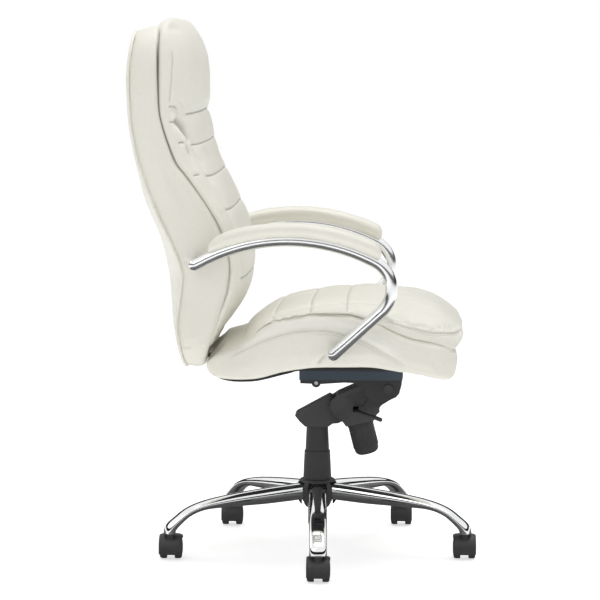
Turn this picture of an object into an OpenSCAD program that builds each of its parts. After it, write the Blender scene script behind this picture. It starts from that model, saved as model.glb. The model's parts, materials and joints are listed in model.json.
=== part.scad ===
// High-back swivel office chair. Millimetres. The origin is on the floor below the column,
// +X is the way the sitter faces, +Y is the sitter's left and +Z is up.

/* [Base] */
// Radius of the circle that the castor stems stand on
castor_circle_r = 340; // [330:1:350]
// Turn of the five-star base about the column
base_turn = 2; // [-4:0.5:4]
// Radius of a castor wheel
wheel_r = 25; // [24:0.5:25]
// Trail of the castor axle behind its stem
castor_trail = 14; // [12:0.5:15]

/* [Column] */
// Radius of the outer column tube
tube_r = 22; // [21.5:0.1:22.5]
// Radius of the gas cylinder
gas_r = 14; // [13.5:0.1:14.5]

/* [Seat] */
// Half width of the seat base cushion
seat_half_w = 262; // [256:1:266]
// Height of the underside of the seat board
board_z = 436; // [435:0.5:437]

/* [Back] */
// Half width of the back
back_half_w = 255; // [250:1:258]
// Thickness of the moulded back board, front to back
back_board_t = 10; // [8:0.5:10]

/* [Arms] */
// Distance from the middle of the chair to an arm tube
arm_y = 287; // [286:0.5:290]
// Radius of the arm tube
arm_r = 12.5; // [11.5:0.5:12.5]
// Half width of an arm pad
pad_half_w = 29; // [26:0.5:30]

/* [Hidden] */
$fn = 48;

leather = "ivory";
chrome = "gainsboro";
plastic = [0.2, 0.2, 0.2];
steel = "dimgray";
wood = "burlywood";

// ---------- general shapes ----------

// A point on the smooth curve through a list of points, between points i and i + 1
function along(p, i, u) =
    let (a = p[max(i - 1, 0)], b = p[i], c = p[i + 1], d = p[min(i + 2, len(p) - 1)])
    0.5 * (2 * b + (c - a) * u + (2 * a - 5 * b + 4 * c - d) * u * u
        + (3 * b - a - 3 * c + d) * u * u * u);
// The smooth curve through a list of points, with a number of steps between each two
function smooth(p, steps = 3) = concat(
    [for (i = [0:len(p) - 2], s = [0:steps - 1]) along(p, i, s / steps)], [p[len(p) - 1]]);
function slice(p, first, last) = [for (i = [first:last]) p[i]];
function reversed(p) = [for (i = [len(p) - 1:-1:0]) p[i]];
function shifted(p, by) = [for (q = p) q + by];

// A closed skin over rings of points, each with the same number of points
module skin(rings) {
    n = len(rings[0]);
    last = (len(rings) - 1) * n;
    polyhedron(
        points = [for (r = rings, q = r) q],
        faces = concat(
            [[for (i = [n - 1:-1:0]) i]],
            [for (k = [0:len(rings) - 2], i = [0:n - 1])
                [k * n + i, k * n + (i + 1) % n, (k + 1) * n + (i + 1) % n]],
            [for (k = [0:len(rings) - 2], i = [0:n - 1])
                [k * n + i, (k + 1) * n + (i + 1) % n, (k + 1) * n + i]],
            [[for (i = [0:n - 1]) last + i]]),
        convexity = 6);
}

// An outline in X and Z, drawn out along Y from one side to the other
module side_profile(points, y_from, y_to) {
    translate([0, y_to, 0]) rotate([90, 0, 0]) linear_extrude(y_to - y_from, convexity = 4)
        polygon(points);
}

// A flat rectangle with rounded corners
module rounded_rect(low, high, r) {
    square_w = high[0] - low[0];
    square_h = high[1] - low[1];
    translate([low[0] + r, low[1]]) square([square_w - 2 * r, square_h]);
    translate([low[0], low[1] + r]) square([square_w, square_h - 2 * r]);
    for (x = [low[0] + r, high[0] - r], y = [low[1] + r, high[1] - r])
        translate([x, y]) circle(r);
}

// A box given by its lowest and highest corners
module box(low, high) {
    translate(low) cube(high - low);
}

// A round bar along Y
module bar_y(x, z, r, y_from, y_to) {
    translate([x, y_to, z]) rotate([90, 0, 0]) cylinder(y_to - y_from, r, r);
}

// ---------- five-star base ----------

leg_angles = [for (k = [0:4]) base_turn - 90 + 72 * k];
leg_sides = 20;
leg_wall = 2;
leg_start_r = 31;
leg_end_z = 58;
// Distance out, height, half height and half width of a leg at its stations
leg_stations = [
    [leg_start_r, 136, 18.5, 20.5], [115, 129.5, 17.5, 20.5], [204, 123, 13.5, 20],
    [262, 116, 9.5, 19.5], [299, 103, 9, 19], [326, 83, 10, 18.5],
    [castor_circle_r - 1, 70, 11.5, 18.5], [castor_circle_r + 2, leg_end_z, 12, 18.5]];

function signed_power(x, e) = sign(x) * pow(abs(x), e);
// One ring of a leg, square to its middle line, with a soft rectangular section
function leg_ring(station, slope, wall) = [for (i = [0:leg_sides - 1])
    let (a = 360 * i / leg_sides,
         u = (station[3] - wall) * signed_power(cos(a), 0.7),
         v = (station[2] - wall) * signed_power(sin(a), 0.7))
    [station[0] - v * sin(slope), u, station[1] + v * cos(slope)]];
function leg_rings(stations, wall) =
    let (s = smooth(stations, 2), n = len(s))
    [for (i = [0:n - 1])
        let (d = s[min(i + 1, n - 1)] - s[max(i - 1, 0)],
             slope = i == 0 ? -4 : (s[i][1] <= leg_end_z ? -90 : atan2(d[1], d[0])))
        leg_ring(s[i], slope, wall)];

module base_legs() color(chrome) {
    outer = leg_rings(leg_stations, 0);
    inner = leg_rings(slice(leg_stations, 0, 6), leg_wall);
    for (a = leg_angles) rotate([0, 0, a]) skin(concat(reversed(inner), outer));
}

hub_bottom_z = 112;
hub_top_z = 158;
hub_r = 33;
tube_low_r = tube_r - 1.4;

// The tapered outside of the column tube where the hub grips it
module hub_taper() {
    translate([0, 0, hub_bottom_z])
        cylinder(hub_top_z - hub_bottom_z, tube_low_r, tube_r);
}

module base_hub() color(steel) difference() {
    translate([0, 0, hub_bottom_z]) cylinder(hub_top_z - hub_bottom_z, hub_r, hub_r);
    hub_taper();
}

leg_slot_half_w = 20.8;
leg_slot_top_z = 157;
lobe_in_r = 36.4;

// A ring that rests round the hub, with a lobe hanging down between each two legs
module hub_cover() color(plastic) difference() {
    rotate_extrude() polygon([
        [lobe_in_r, 102], [39, 104], [43, 111], [45, 122], [46, 136], [45.5, 146], [43, 153.5],
        [38, 161.5], [hub_r + 0.2, 163], [hub_r + 0.2, leg_slot_top_z + 1],
        [lobe_in_r, leg_slot_top_z + 1]]);
    for (a = leg_angles) rotate([0, 0, a])
        box([20, -leg_slot_half_w, 100], [60, leg_slot_half_w, leg_slot_top_z]);
}

sleeve_r = 7.5;
stem_r = 5.5;
stem_low_z = 45;
stem_top_z = 74;

module at_castors() {
    for (a = leg_angles) rotate([0, 0, a]) translate([castor_circle_r, 0, 0]) children();
}

module castor_sleeves() color(steel) at_castors() difference() {
    translate([0, 0, leg_end_z]) cylinder(stem_top_z + 2 - leg_end_z, sleeve_r, sleeve_r);
    translate([0, 0, leg_end_z - 1]) cylinder(stem_top_z + 1 - leg_end_z, stem_r, stem_r);
}

module castor_stems() color(chrome) at_castors()
    translate([0, 0, stem_low_z]) cylinder(stem_top_z - stem_low_z, stem_r, stem_r);

// ---------- column ----------

tube_bottom_z = 60;
tube_top_z = 236;
tube_in_r = 18.5;
bush_bottom_z = 190;
rod_r = 5;
bearing_bottom_z = 64;
bearing_top_z = 70;
gas_bottom_z = 120;
gas_cone_z = 286;
gas_top_z = 314;
gas_nose_r = gas_r - 1.2;
running = 0.05;

module column_tube() color(plastic) difference() {
    union() {
        translate([0, 0, tube_bottom_z])
            cylinder(hub_bottom_z - tube_bottom_z, tube_low_r, tube_low_r);
        hub_taper();
        translate([0, 0, hub_top_z]) cylinder(tube_top_z - hub_top_z, tube_r, tube_r);
    }
    translate([0, 0, bearing_bottom_z])
        cylinder(tube_top_z - bearing_bottom_z + 1, tube_in_r, tube_in_r);
    translate([0, 0, tube_bottom_z - 1]) cylinder(20, rod_r + running, rod_r + running);
}

module column_bush() color("white") difference() {
    translate([0, 0, bush_bottom_z])
        cylinder(tube_top_z - bush_bottom_z, tube_in_r, tube_in_r);
    translate([0, 0, bush_bottom_z - 1])
        cylinder(tube_top_z - bush_bottom_z + 2, gas_r + running, gas_r + running);
}

module thrust_bearing() color(steel) difference() {
    translate([0, 0, bearing_bottom_z])
        cylinder(bearing_top_z - bearing_bottom_z - running, 14, 14);
    translate([0, 0, bearing_bottom_z - 1]) cylinder(8, rod_r + running, rod_r + running);
}

module piston_rod() color(chrome) {
    translate([0, 0, 52]) cylinder(136, rod_r, rod_r);
    translate([0, 0, 55]) cylinder(3, 9, 9);
    translate([0, 0, bearing_top_z]) cylinder(3, 12, 12);
    translate([0, 0, 187]) cylinder(7, 11.95, 11.95);
}

// The cone at the top of the gas cylinder, which the tilt housing sits on
module gas_cone() {
    translate([0, 0, gas_cone_z]) cylinder(gas_top_z - gas_cone_z, gas_r, gas_nose_r);
}

pin_r = 3;

module gas_cylinder() color(steel) difference() {
    union() {
        translate([0, 0, gas_bottom_z]) cylinder(gas_cone_z - gas_bottom_z, gas_r, gas_r);
        gas_cone();
    }
    translate([0, 0, gas_bottom_z + 10]) cylinder(165, 12, 12);
    translate([0, 0, gas_bottom_z - 1]) cylinder(20, rod_r + running, rod_r + running);
    translate([0, 0, gas_top_z - 30]) cylinder(40, pin_r + running, pin_r + running);
}

module valve_pin() color(chrome) translate([0, 0, gas_top_z - 18]) cylinder(26, pin_r, pin_r);

// Outer radius at the bottom and top of a tapered cover with an even wall
module tapered_cover(z_low, z_high, r_low, r_high, wall) {
    rotate_extrude() polygon([
        [r_low - wall, z_low], [r_low, z_low], [r_high, z_high], [r_high - wall, z_high]]);
}

cover_lower_z = [159, 226];
cover_upper_z = [206, 283];

module cover_lower() color(plastic)
    tapered_cover(cover_lower_z[0], cover_lower_z[1], 31.6, 28.6, 1.4);

module cover_upper() color(plastic)
    tapered_cover(cover_upper_z[0], cover_upper_z[1], 27.3, 24, 1.4);

// ---------- knee-tilt mechanism ----------

knee = [158, 372];
knee_r = 7;
housing_half_w = 46;
housing_wall = 4;
socket_bottom_z = 283;
knob_tilt = 14;
knob_at = [95, 292];
screw_r = 5;

// Places children along the axis of the tension knob, with +Z up the screw
module on_knob_axis() {
    translate([knob_at[0], 0, knob_at[1]]) rotate([0, -knob_tilt, 0]) children();
}

function arc(centre, r, from, to, steps) = [for (i = [0:steps])
    centre + r * [cos(from + (to - from) * i / steps), sin(from + (to - from) * i / steps)]];

arm_half_w = 30;
// The narrow rear arm of the housing, over the gas cylinder
housing_arm = [[-26, 283], [-39, 295], [-49, 308], [-46, 312], [27, 352], [33, 349], [46, 354],
    [60, 360], [60, 297], [47, 291], [35, 290], [25, 283]];
// The wide box in front of it, round the springs
housing_box = concat(
    [[57, 297], [38, 310], [30, 328], [30, 343], [34, 347], [47, 356], [81, 371], [120, 389]],
    arc(knee, 24, 100, -50, 10),
    [[143, 334], [137, 328], [139, 319], [133, 313.5], [127, 300.5], [65, 286]]);
box_hollow = concat(
    [[62, 301], [42, 313], [34, 328], [34, 340], [80, 364], [122, 382]],
    arc(knee, 19, 110, -60, 8),
    [[150, 346], [128, 326], [124, 314], [118, 305], [70, 293]]);
// The shallow hollow pressed into each side of the box
side_recess = [[84, 334], [86, 350], [96, 358], [108, 356], [112, 344], [104, 333]];
recess_depth = 2;

module tilt_housing() color(plastic) difference() {
    union() {
        difference() {
            union() {
                side_profile(housing_box, -housing_half_w, housing_half_w);
                side_profile(housing_arm, -arm_half_w, arm_half_w);
            }
            side_profile(box_hollow, -housing_half_w + housing_wall,
                housing_half_w - housing_wall);
            box([24, -arm_half_w + housing_wall, 303], [70, arm_half_w - housing_wall, 338]);
        }
        translate([0, 0, socket_bottom_z]) cylinder(28, 24, 24);
        // ledge that the lock slider runs on
        box([68, -housing_half_w + 1, 308], [97, -15.5, 312.7]);
    }
    // socket for the gas cylinder and the way above its valve
    translate([0, 0, socket_bottom_z - 1]) cylinder(gas_cone_z - socket_bottom_z + 1, gas_r, gas_r);
    gas_cone();
    translate([0, 0, gas_top_z - 0.01]) cylinder(12, 9, 9);
    // way for the actuator over the valve, and for the lever through the side
    box([-8, -24, 312], [62, 25, 327.5]);
    box([80.3, -60, 319], [93, -41, 331.5]);
    for (side = [0, 1]) mirror([0, side, 0])
        side_profile(side_recess, -housing_half_w - 1, -housing_half_w + recess_depth);
    // bushes of the knee axle
    bar_y(knee[0], knee[1], 10, -60, 60);
    // the tension screw
    on_knob_axis() translate([0, 0, -12]) cylinder(24, screw_r + running, screw_r + running);
}

module knee_bushes() color("white") for (side = [0, 1]) mirror([0, side, 0]) difference() {
    bar_y(knee[0], knee[1], 10, housing_half_w - housing_wall, housing_half_w);
    bar_y(knee[0], knee[1], knee_r + running, 30, 60);
}

coil_r = 14;
wire_r = 2.2;
coil_turns = 5;
coil_steps = 18;
coil_pitch = 5.4;
coil_start_y = 9;
spring_leg_end = [88, 342.5];

// One ring of the spring wire, square to the coil's way round the axle
function wire_ring(a) =
    let (c = [knee[0] + coil_r * cos(a), coil_start_y + coil_pitch * (a + 90) / 360,
              knee[1] + coil_r * sin(a)],
         out = [cos(a), 0, sin(a)])
    [for (i = [0:5]) c + wire_r * (out * cos(60 * i) + [0, 1, 0] * sin(60 * i))];

// The first ring is moved out to the end of the leg that bears on the traverse
module torsion_springs() color(steel) for (side = [0, 1]) mirror([0, side, 0]) skin(concat(
    [shifted(wire_ring(-90), [spring_leg_end[0] - knee[0], 0,
        spring_leg_end[1] - knee[1] + coil_r])],
    [for (i = [0:coil_turns * coil_steps]) wire_ring(-90 + 360 * i / coil_steps)]));

thread_r = screw_r - 0.05;
traverse_up = 42;

module spring_traverse() color(steel) difference() {
    on_knob_axis() translate([-8, -14, traverse_up - 5]) cube([16, 28, 10]);
    on_knob_axis() cylinder(60, screw_r, screw_r);
}

module tension_screw() color(chrome) on_knob_axis() {
    translate([0, 0, -30]) cylinder(82, thread_r, thread_r);
}

knob_r = 29.5;
knob_end_r = 27;
knob_length = 73;
knob_round = 13;
grip_ribs = 24;

module tension_knob() color(plastic) on_knob_axis() rotate([180, 0, 0])
    translate([0, 0, 1.5]) difference() {
        union() {
            rotate_extrude() polygon(concat(
                [[0, 0], [knob_r, 0], [knob_r, 6], [knob_r - 1, 8]],
                arc([knob_end_r - knob_round, knob_length - knob_round], knob_round, 0, 90, 8),
                [[0, knob_length]]));
            // low grip ribs round the skirt
            for (i = [0:grip_ribs - 1]) rotate([0, 0, 360 * i / grip_ribs])
                translate([knob_end_r - 0.2, 0, 14]) cylinder(42, 1.6, 1.6, $fn = 16);
        }
        translate([0, 0, -1]) cylinder(31, thread_r, thread_r);
    }

lever_pivot = [82, -34, 323];
lever_end = [141, -240, 332];
rod_half = 2.8;
grip_length = 60;
grip_cover = 30;
pivot_r = 2.6;
slider_top_z = 317.2;

// Places children on the line of the lever, with +Z from the given point towards the pivot
module along_lever(from) {
    translate(from)
        rotate([0, 0, atan2(lever_end[1] - lever_pivot[1], lever_end[0] - lever_pivot[0])])
            rotate([0, -90 - asin((lever_end[2] - lever_pivot[2]) / norm(lever_end - lever_pivot)), 0])
                children();
}

// The block that slides across the housing to lock the tilt, with the lug of the lever's pivot
module lock_slider() color(steel) difference() {
    union() {
        box([70, -41.5, slider_top_z - 4.2], [94, -27, slider_top_z]);
        box([90, -38, slider_top_z - 2], [93.5, -30, 327]);
    }
    translate([80, lever_pivot[1], lever_pivot[2]]) rotate([0, 90, 0])
        cylinder(20, pivot_r + running, pivot_r + running);
}

module lever_rod() color(steel) {
    // actuator plate over the valve pin, and the bar that joins it to the pivot
    box([-6, -20, 322.2], [42, 10, 324.2]);
    box([39.5, -38, 322.2], [46, -18, 324.2]);
    side_profile([[40, 322.2], [40, 324.2], [60, 325.5], [82, 326], [82, 320], [60, 320.5]],
        -38, -32);
    // pivot pin and ball, and the rod out through the housing's side
    translate([80, lever_pivot[1], lever_pivot[2]]) rotate([0, 90, 0])
        cylinder(13.5, pivot_r, pivot_r);
    translate(lever_pivot) sphere(5.5);
    along_lever(lever_end) translate([0, 0, grip_cover])
        cylinder(norm(lever_end - lever_pivot) - grip_cover, rod_half, rod_half);
}

module lever_grip() color(plastic) along_lever(lever_end) difference() {
    union() {
        cylinder(grip_length, 4.6, 4.2);
        sphere(4.6);
    }
    translate([0, 0, grip_cover]) cylinder(grip_length, rod_half, rod_half);
}

// ---------- seat frame ----------

plate_x = [-38, 190];
plate_top_z = 434.5;
plate_half_w = 92;
skirt_low_z = 396;
channel_half_w = 58;
channel_in = 54.5;
boss_at = [-1, 385];
boss_r = 10;
rear_pin_r = 4;
sheet_t = 3;

ear_outline = concat(
    [[-38, 431.5], [-36, 384], [-10, 383]],
    arc(boss_at, boss_r, 195, 345, 8),
    [[60, 386], [84, 385], [104, 368], [118, 345], [137, 328], [146, 340], [175, 354],
     [182, 362], [187, 380], [190, 409], [190, 431.5]]);

module seat_plate() color(plastic) difference() {
    union() {
        box([plate_x[0], -plate_half_w, plate_top_z - sheet_t],
            [plate_x[1], plate_half_w, plate_top_z]);
        for (side = [0, 1]) mirror([0, side, 0]) {
            box([plate_x[0] + 1, plate_half_w - sheet_t, skirt_low_z],
                [plate_x[1] - 1, plate_half_w, plate_top_z - 0.5]);
            side_profile(ear_outline, channel_in, channel_half_w);
        }
        box([plate_x[1] - sheet_t, -plate_half_w, skirt_low_z + 6],
            [plate_x[1], plate_half_w, plate_top_z]);
    }
    bar_y(knee[0], knee[1], knee_r, -70, 70);
    bar_y(boss_at[0], boss_at[1], rear_pin_r, -70, 70);
    at_plate_bolts() translate([0, 0, plate_top_z - 10]) cylinder(20, bolt_r, bolt_r);
}

module plate_pins() color(chrome) {
    bar_y(knee[0], knee[1], knee_r, -61, 61);
    bar_y(knee[0], knee[1], 10, 58.2, 62);
    bar_y(knee[0], knee[1], 10, -62, -58.2);
    for (side = [0, 1]) mirror([0, side, 0])
        bar_y(boss_at[0], boss_at[1], rear_pin_r, 53, 60.5);
}

bolt_r = 4;
bolt_spacing_y = 76;
plate_bolt_x = [-18, 172];

module at_plate_bolts() {
    for (x = plate_bolt_x, side = [-1, 1]) translate([x, side * bolt_spacing_y, 0]) children();
}

board_t = 12;
board_x = [-205, 262];
board_half_w = 235;

module dust_cover() color("black") difference() {
    translate([0, 0, plate_top_z]) linear_extrude(board_z - plate_top_z)
        rounded_rect([board_x[0] - 5, -board_half_w - 6], [board_x[1] + 5, board_half_w + 6], 45);
    at_plate_bolts() translate([0, 0, plate_top_z - 10]) cylinder(20, bolt_r, bolt_r);
}

module board_solid() {
    translate([0, 0, board_z]) linear_extrude(board_t)
        rounded_rect([board_x[0], -board_half_w], [board_x[1], board_half_w], 45);
}

module seat_board() color(wood) difference() {
    board_solid();
    at_plate_bolts() translate([0, 0, board_z - 1]) cylinder(board_t + 2, bolt_r, bolt_r);
}

// ---------- back frame ----------

steps = 3;
// The line between the rear panel and the board, from the bottom up
panel_line = smooth([[-268, 430], [-285, 481], [-292, 530], [-284, 590], [-281, 645],
    [-302, 705], [-335, 776], [-367, 862], [-386, 950], [-391, 1040], [-383, 1150]], steps);
// The rear outline of the back, from the bottom up
rear_line = smooth([[-283, 417], [-301, 427], [-315, 461], [-322, 510], [-325, 584],
    [-334, 655], [-367, 752], [-400, 860], [-419, 960], [-423, 1049], [-411, 1145],
    [-397, 1165]], steps);
// The side seam between the back cushion and the front pad, from the top down
seam_line = smooth([[-328, 1158], [-328, 1057], [-326, 987], [-318, 950], [-302, 903],
    [-270, 849], [-226, 787], [-197, 733], [-180, 672], [-182, 612], [-200, 560],
    [-211, 512], [-227, 480], [-237, 444]], steps);
head_seam = 2 * steps;
pad_seam_end = 11 * steps;
// The front of the padding, from the seam under the headrest down
pad_front_line = smooth([[-243, 987], [-232, 925], [-213, 866], [-182, 806], [-156, 745],
    [-141, 680], [-139, 640], [-149, 594], [-168, 558], [-190, 526], [-208, 508]], steps);
// The front and top of the headrest, from its lower seam round to the back
head_line = smooth([[-243, 989], [-240, 1035], [-241, 1080], [-248, 1118], [-262, 1152],
    [-284, 1177], [-309, 1185], [-326, 1178]], steps);

// The back's outline seen from the front, which rounds its corners
module back_front_view(half_w, low_z, high_z, corner_r) {
    translate([-500, 0, 0]) rotate([90, 0, 90]) linear_extrude(450)
        rounded_rect([-half_w, low_z], [half_w, high_z], corner_r);
}

bracket_y = 95;
bracket_half = 20;
bracket_t = 6;

module back_bracket() color(steel) for (side = [0, 1]) mirror([0, side, 0]) {
    box([-269, bracket_y - bracket_half, board_z + board_t],
        [-85, bracket_y + bracket_half, board_z + board_t + bracket_t]);
    box([-269, bracket_y - bracket_half, board_z + board_t],
        [-269 + bracket_t, bracket_y + bracket_half, 645]);
}

// The arm tube: a long low crown, a tight bend at the front and a straight tail
// The way that the tube runs where it is a given angle off the vertical
function heading(a) = [cos(a), -sin(a)];
crown_centre = [-55, 317];
crown_r = 400;
crown_rear = 27;
crown_front = 27.3;
bend_r = 65;
bend_centre = crown_centre + (crown_r - bend_r) * [sin(crown_front), cos(crown_front)];
bend_end = 138;
tail_end = bend_centre + bend_r * [sin(bend_end), cos(bend_end)] + 128 * heading(bend_end);
rear_end = crown_centre + crown_r * [-sin(crown_rear), cos(crown_rear)]
    - 14 * heading(-crown_rear);
// Where the bolts go through the tube
arm_mounts = [rear_end + 6 * heading(-crown_rear), tail_end - 8 * heading(bend_end)];
bracket_in = 245;
bracket_out = 249;

module arm_bracket_solids() {
    box([30, 200, board_z + board_t], [74, bracket_out, board_z + board_t + 4]);
    box([30, bracket_in, board_z + board_t], [74, bracket_out, 504]);
    box([-269, 196, 645], [-265, bracket_out, 694]);
    box([-269, bracket_in, 648], [-230, bracket_out, 692]);
    // sleeves that stand the arm off the padding
    for (at = arm_mounts) bar_y(at[0], at[1], 10, bracket_out, arm_y - arm_r);
}

module arm_brackets() color(steel) for (side = [0, 1]) mirror([0, side, 0]) difference() {
    arm_bracket_solids();
    for (at = arm_mounts) bar_y(at[0], at[1], bolt_r, 240, 300);
}

// Room for the steel parts inside the padding
module padding_cuts() {
    board_solid();
    back_bracket();
    for (side = [0, 1]) mirror([0, side, 0]) {
        arm_bracket_solids();
        for (at = arm_mounts) bar_y(at[0], at[1], 11, bracket_in, 270);
    }
}

module back_board() color(wood) intersection() {
    side_profile(concat(panel_line, shifted(reversed(panel_line), [back_board_t, 0])),
        -back_half_w, back_half_w);
    back_front_view(228, 470, 1140, 60);
}

module back_panel() color(leather) intersection() {
    side_profile(concat(rear_line, reversed(panel_line)), -back_half_w, back_half_w);
    back_front_view(back_half_w - 6, 400, 1166, 80);
}

module back_cushion() color(leather) difference() {
    intersection() {
        side_profile(concat(panel_line, [[-368, 1170], [-347, 1176]], seam_line),
            -back_half_w, back_half_w);
        back_front_view(back_half_w, 400, 1177, 85);
    }
    back_board();
    padding_cuts();
}

module back_pad() color(leather) intersection() {
    side_profile(concat(pad_front_line, reversed(slice(seam_line, head_seam, pad_seam_end))),
        -back_half_w, back_half_w);
    back_front_view(back_half_w - 7, 480, 1300, 60);
}

module headrest() color(leather) intersection() {
    side_profile(concat(head_line, slice(seam_line, 0, head_seam)), -back_half_w, back_half_w);
    back_front_view(back_half_w - 9, 800, 1186, 85);
}

// ---------- seat padding ----------

// The lower edge of the seat cushion, from the rear forward and up to the crease
seat_low_line = smooth([[-232, 449], [-226, 434], [-208, 421], [-180, 416], [-115, 419],
    [-40, 436], [35, 443], [135, 441], [200, 433], [262, 421], [283, 423], [293, 438],
    [300, 460], [300, 478], [292, 488]], steps);
// The crease between the cushion and the pillow, from the front back
crease_line = smooth([[292, 488], [248, 499], [208, 506], [167, 525], [138, 538],
    [105, 550], [60, 558], [21, 560], [-37, 554], [-89, 540], [-128, 520], [-156, 503]], steps);
// The top of the pillow, from the rear forward
pillow_line = smooth([[-156, 505], [-146, 524], [-132, 536], [-104, 553], [-53, 575],
    [-2, 587], [65, 595], [116, 596], [174, 593], [218, 586], [263, 571], [293, 551],
    [313, 527], [320, 505], [314, 484], [301, 480]], steps);

module plan_view(low, high, corner_r) {
    translate([0, 0, 350]) linear_extrude(300) rounded_rect(low, high, corner_r);
}

module seat_cushion() color(leather) difference() {
    intersection() {
        side_profile(concat(seat_low_line, crease_line, [[-190, 501], [-205, 490], [-222, 466]]),
            -seat_half_w, seat_half_w);
        plan_view([-232, -seat_half_w], [301, seat_half_w], 55);
    }
    box([-240, -board_half_w - 8, 400], [board_x[1] + 6, board_half_w + 8, board_z]);
    padding_cuts();
}

module seat_pillow() color(leather) intersection() {
    side_profile(concat(crease_line, pillow_line), -seat_half_w, seat_half_w);
    plan_view([-158, -seat_half_w + 8], [321, seat_half_w - 8], 60);
}

// ---------- arms ----------

// Part of a ring about a Y axis, from one angle off the vertical to another
module swept(centre, from, to) {
    translate([centre[0], 0, centre[1]]) rotate([90, 0, 0]) rotate([0, 0, 90 - to])
        rotate_extrude(angle = to - from, convexity = 4) children();
}

tube_sides = 20;
cap_angles = [80, 55, 28];
crown_steps = 9;
bend_steps = 14;

// Stations of the arm's tube, each with its place, its angle off the vertical and its radius
arm_stations = concat(
    [for (b = cap_angles)
        [rear_end - arm_r * sin(b) * heading(-crown_rear), -crown_rear, arm_r * cos(b)]],
    [[rear_end, -crown_rear, arm_r]],
    [for (i = [0:crown_steps]) let (a = -crown_rear + (crown_rear + crown_front) * i / crown_steps)
        [crown_centre + crown_r * [sin(a), cos(a)], a, arm_r]],
    [for (i = [1:bend_steps]) let (a = crown_front + (bend_end - crown_front) * i / bend_steps)
        [bend_centre + bend_r * [sin(a), cos(a)], a, arm_r]],
    [[tail_end, bend_end, arm_r]],
    [for (b = reversed(cap_angles))
        [tail_end + arm_r * sin(b) * heading(bend_end), bend_end, arm_r * cos(b)]]);

module arm_tube() {
    skin([for (s = arm_stations) [for (i = [0:tube_sides - 1])
        let (a = 360 * i / tube_sides, up = s[2] * cos(a))
        [s[0][0] + up * sin(s[1]), s[2] * sin(a), s[0][1] + up * cos(s[1])]]]);
}

// The left arm: a bent tube with a counterbored hole for each bolt
module arm() difference() {
    translate([0, arm_y, 0]) arm_tube();
    for (at = arm_mounts) {
        bar_y(at[0], at[1], bolt_r, 240, 320);
        bar_y(at[0], at[1], bolt_r + 2.5, arm_y + 5, 320);
    }
}

module arm_left() color(chrome) arm();
module arm_right() color(chrome) mirror([0, 1, 0]) arm();

pad_in_r = crown_r + 1;
pad_out_r = 441;
pad_rear = 24.5;
pad_front = 27;

module arm_pad() color(leather) translate([0, arm_y, 0]) difference() {
    swept(crown_centre, -pad_rear, pad_front)
        rounded_rect([pad_in_r, -pad_half_w], [pad_out_r, pad_half_w], 14);
    swept(crown_centre, -pad_rear - 2, pad_front + 2)
        translate([crown_r, 0]) circle(arm_r + 0.2);
}

module arm_left_pad() arm_pad();
module arm_right_pad() mirror([0, 1, 0]) arm_pad();

module bolts() color(chrome) {
    at_plate_bolts() {
        translate([0, 0, plate_top_z - sheet_t - 5]) cylinder(5, 6.5, 6.5);
        translate([0, 0, plate_top_z - sheet_t]) cylinder(14, bolt_r, bolt_r);
    }
    for (side = [0, 1], at = arm_mounts) mirror([0, side, 0]) {
        bar_y(at[0], at[1], bolt_r, bracket_in, arm_y + 5);
        bar_y(at[0], at[1], bolt_r + 2.4, arm_y + 5, arm_y + 8.5);
    }
}

// ---------- castors ----------

hood_r = 30.5;
hood_wall = 2.6;
hood_half_w = 25;
web_half_w = 6.5;
axle_r = 4;
axle_half = 23.5;
wheel_in = 9.2;
wheel_out = 25.2;
hood_from = -115;
hood_to = 50;

// Places children on a castor's axle, with the axle along Z
module on_axle() {
    translate([0, castor_trail, wheel_r]) rotate([0, 90, 0]) children();
}

// A turned shape about a castor's axle, from the floor side in front over the top to the rear
module over_wheels(angle) {
    on_axle() rotate([0, 0, 180 - hood_to]) rotate_extrude(angle = angle, convexity = 4)
        children();
}

module castor_hood() color(plastic) difference() {
    union() {
        over_wheels(hood_to - hood_from) polygon([
            [hood_r - hood_wall, -15], [hood_r - 3.2, -21], [hood_r - 5, -hood_half_w],
            [hood_r - 3, -hood_half_w], [hood_r - 1, -20], [hood_r, -13],
            [hood_r, 13], [hood_r - 1, 20], [hood_r - 3, hood_half_w],
            [hood_r - 5, hood_half_w], [hood_r - 3.2, 21], [hood_r - hood_wall, 15]]);
        over_wheels(hood_to - hood_from)
            translate([0, -web_half_w]) square([hood_r - 1, 2 * web_half_w]);
        on_axle() translate([0, 0, -web_half_w]) cylinder(2 * web_half_w, 10.5, 10.5);
        translate([0, 0, 36]) cylinder(21.5, 8.6, 8.6);
    }
    translate([0, 0, stem_low_z - 0.3]) cylinder(20, stem_r + running, stem_r + running);
    on_axle() translate([0, 0, -20]) cylinder(40, axle_r, axle_r);
}

module castor_axle() color(chrome) on_axle() translate([0, 0, -axle_half])
    cylinder(2 * axle_half, axle_r, axle_r);

// The wheel on the +X side of its castor
module castor_wheel() color(plastic) on_axle() rotate_extrude() polygon(concat(
    [[axle_r + running, wheel_in], [wheel_r - 1, wheel_in], [wheel_r, wheel_in + 1],
     [wheel_r, 19]],
    arc([wheel_r - 5, 19], 5, 0, 70, 4),
    [[12, wheel_out], [0, wheel_out], [0, axle_half + 0.3],
     [axle_r + running, axle_half + 0.3]]));

// Places children at castor number k, rolling along Y
module at_castor(k) {
    a = leg_angles[k - 1];
    translate([castor_circle_r * cos(a), castor_circle_r * sin(a), 0]) children();
}

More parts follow.
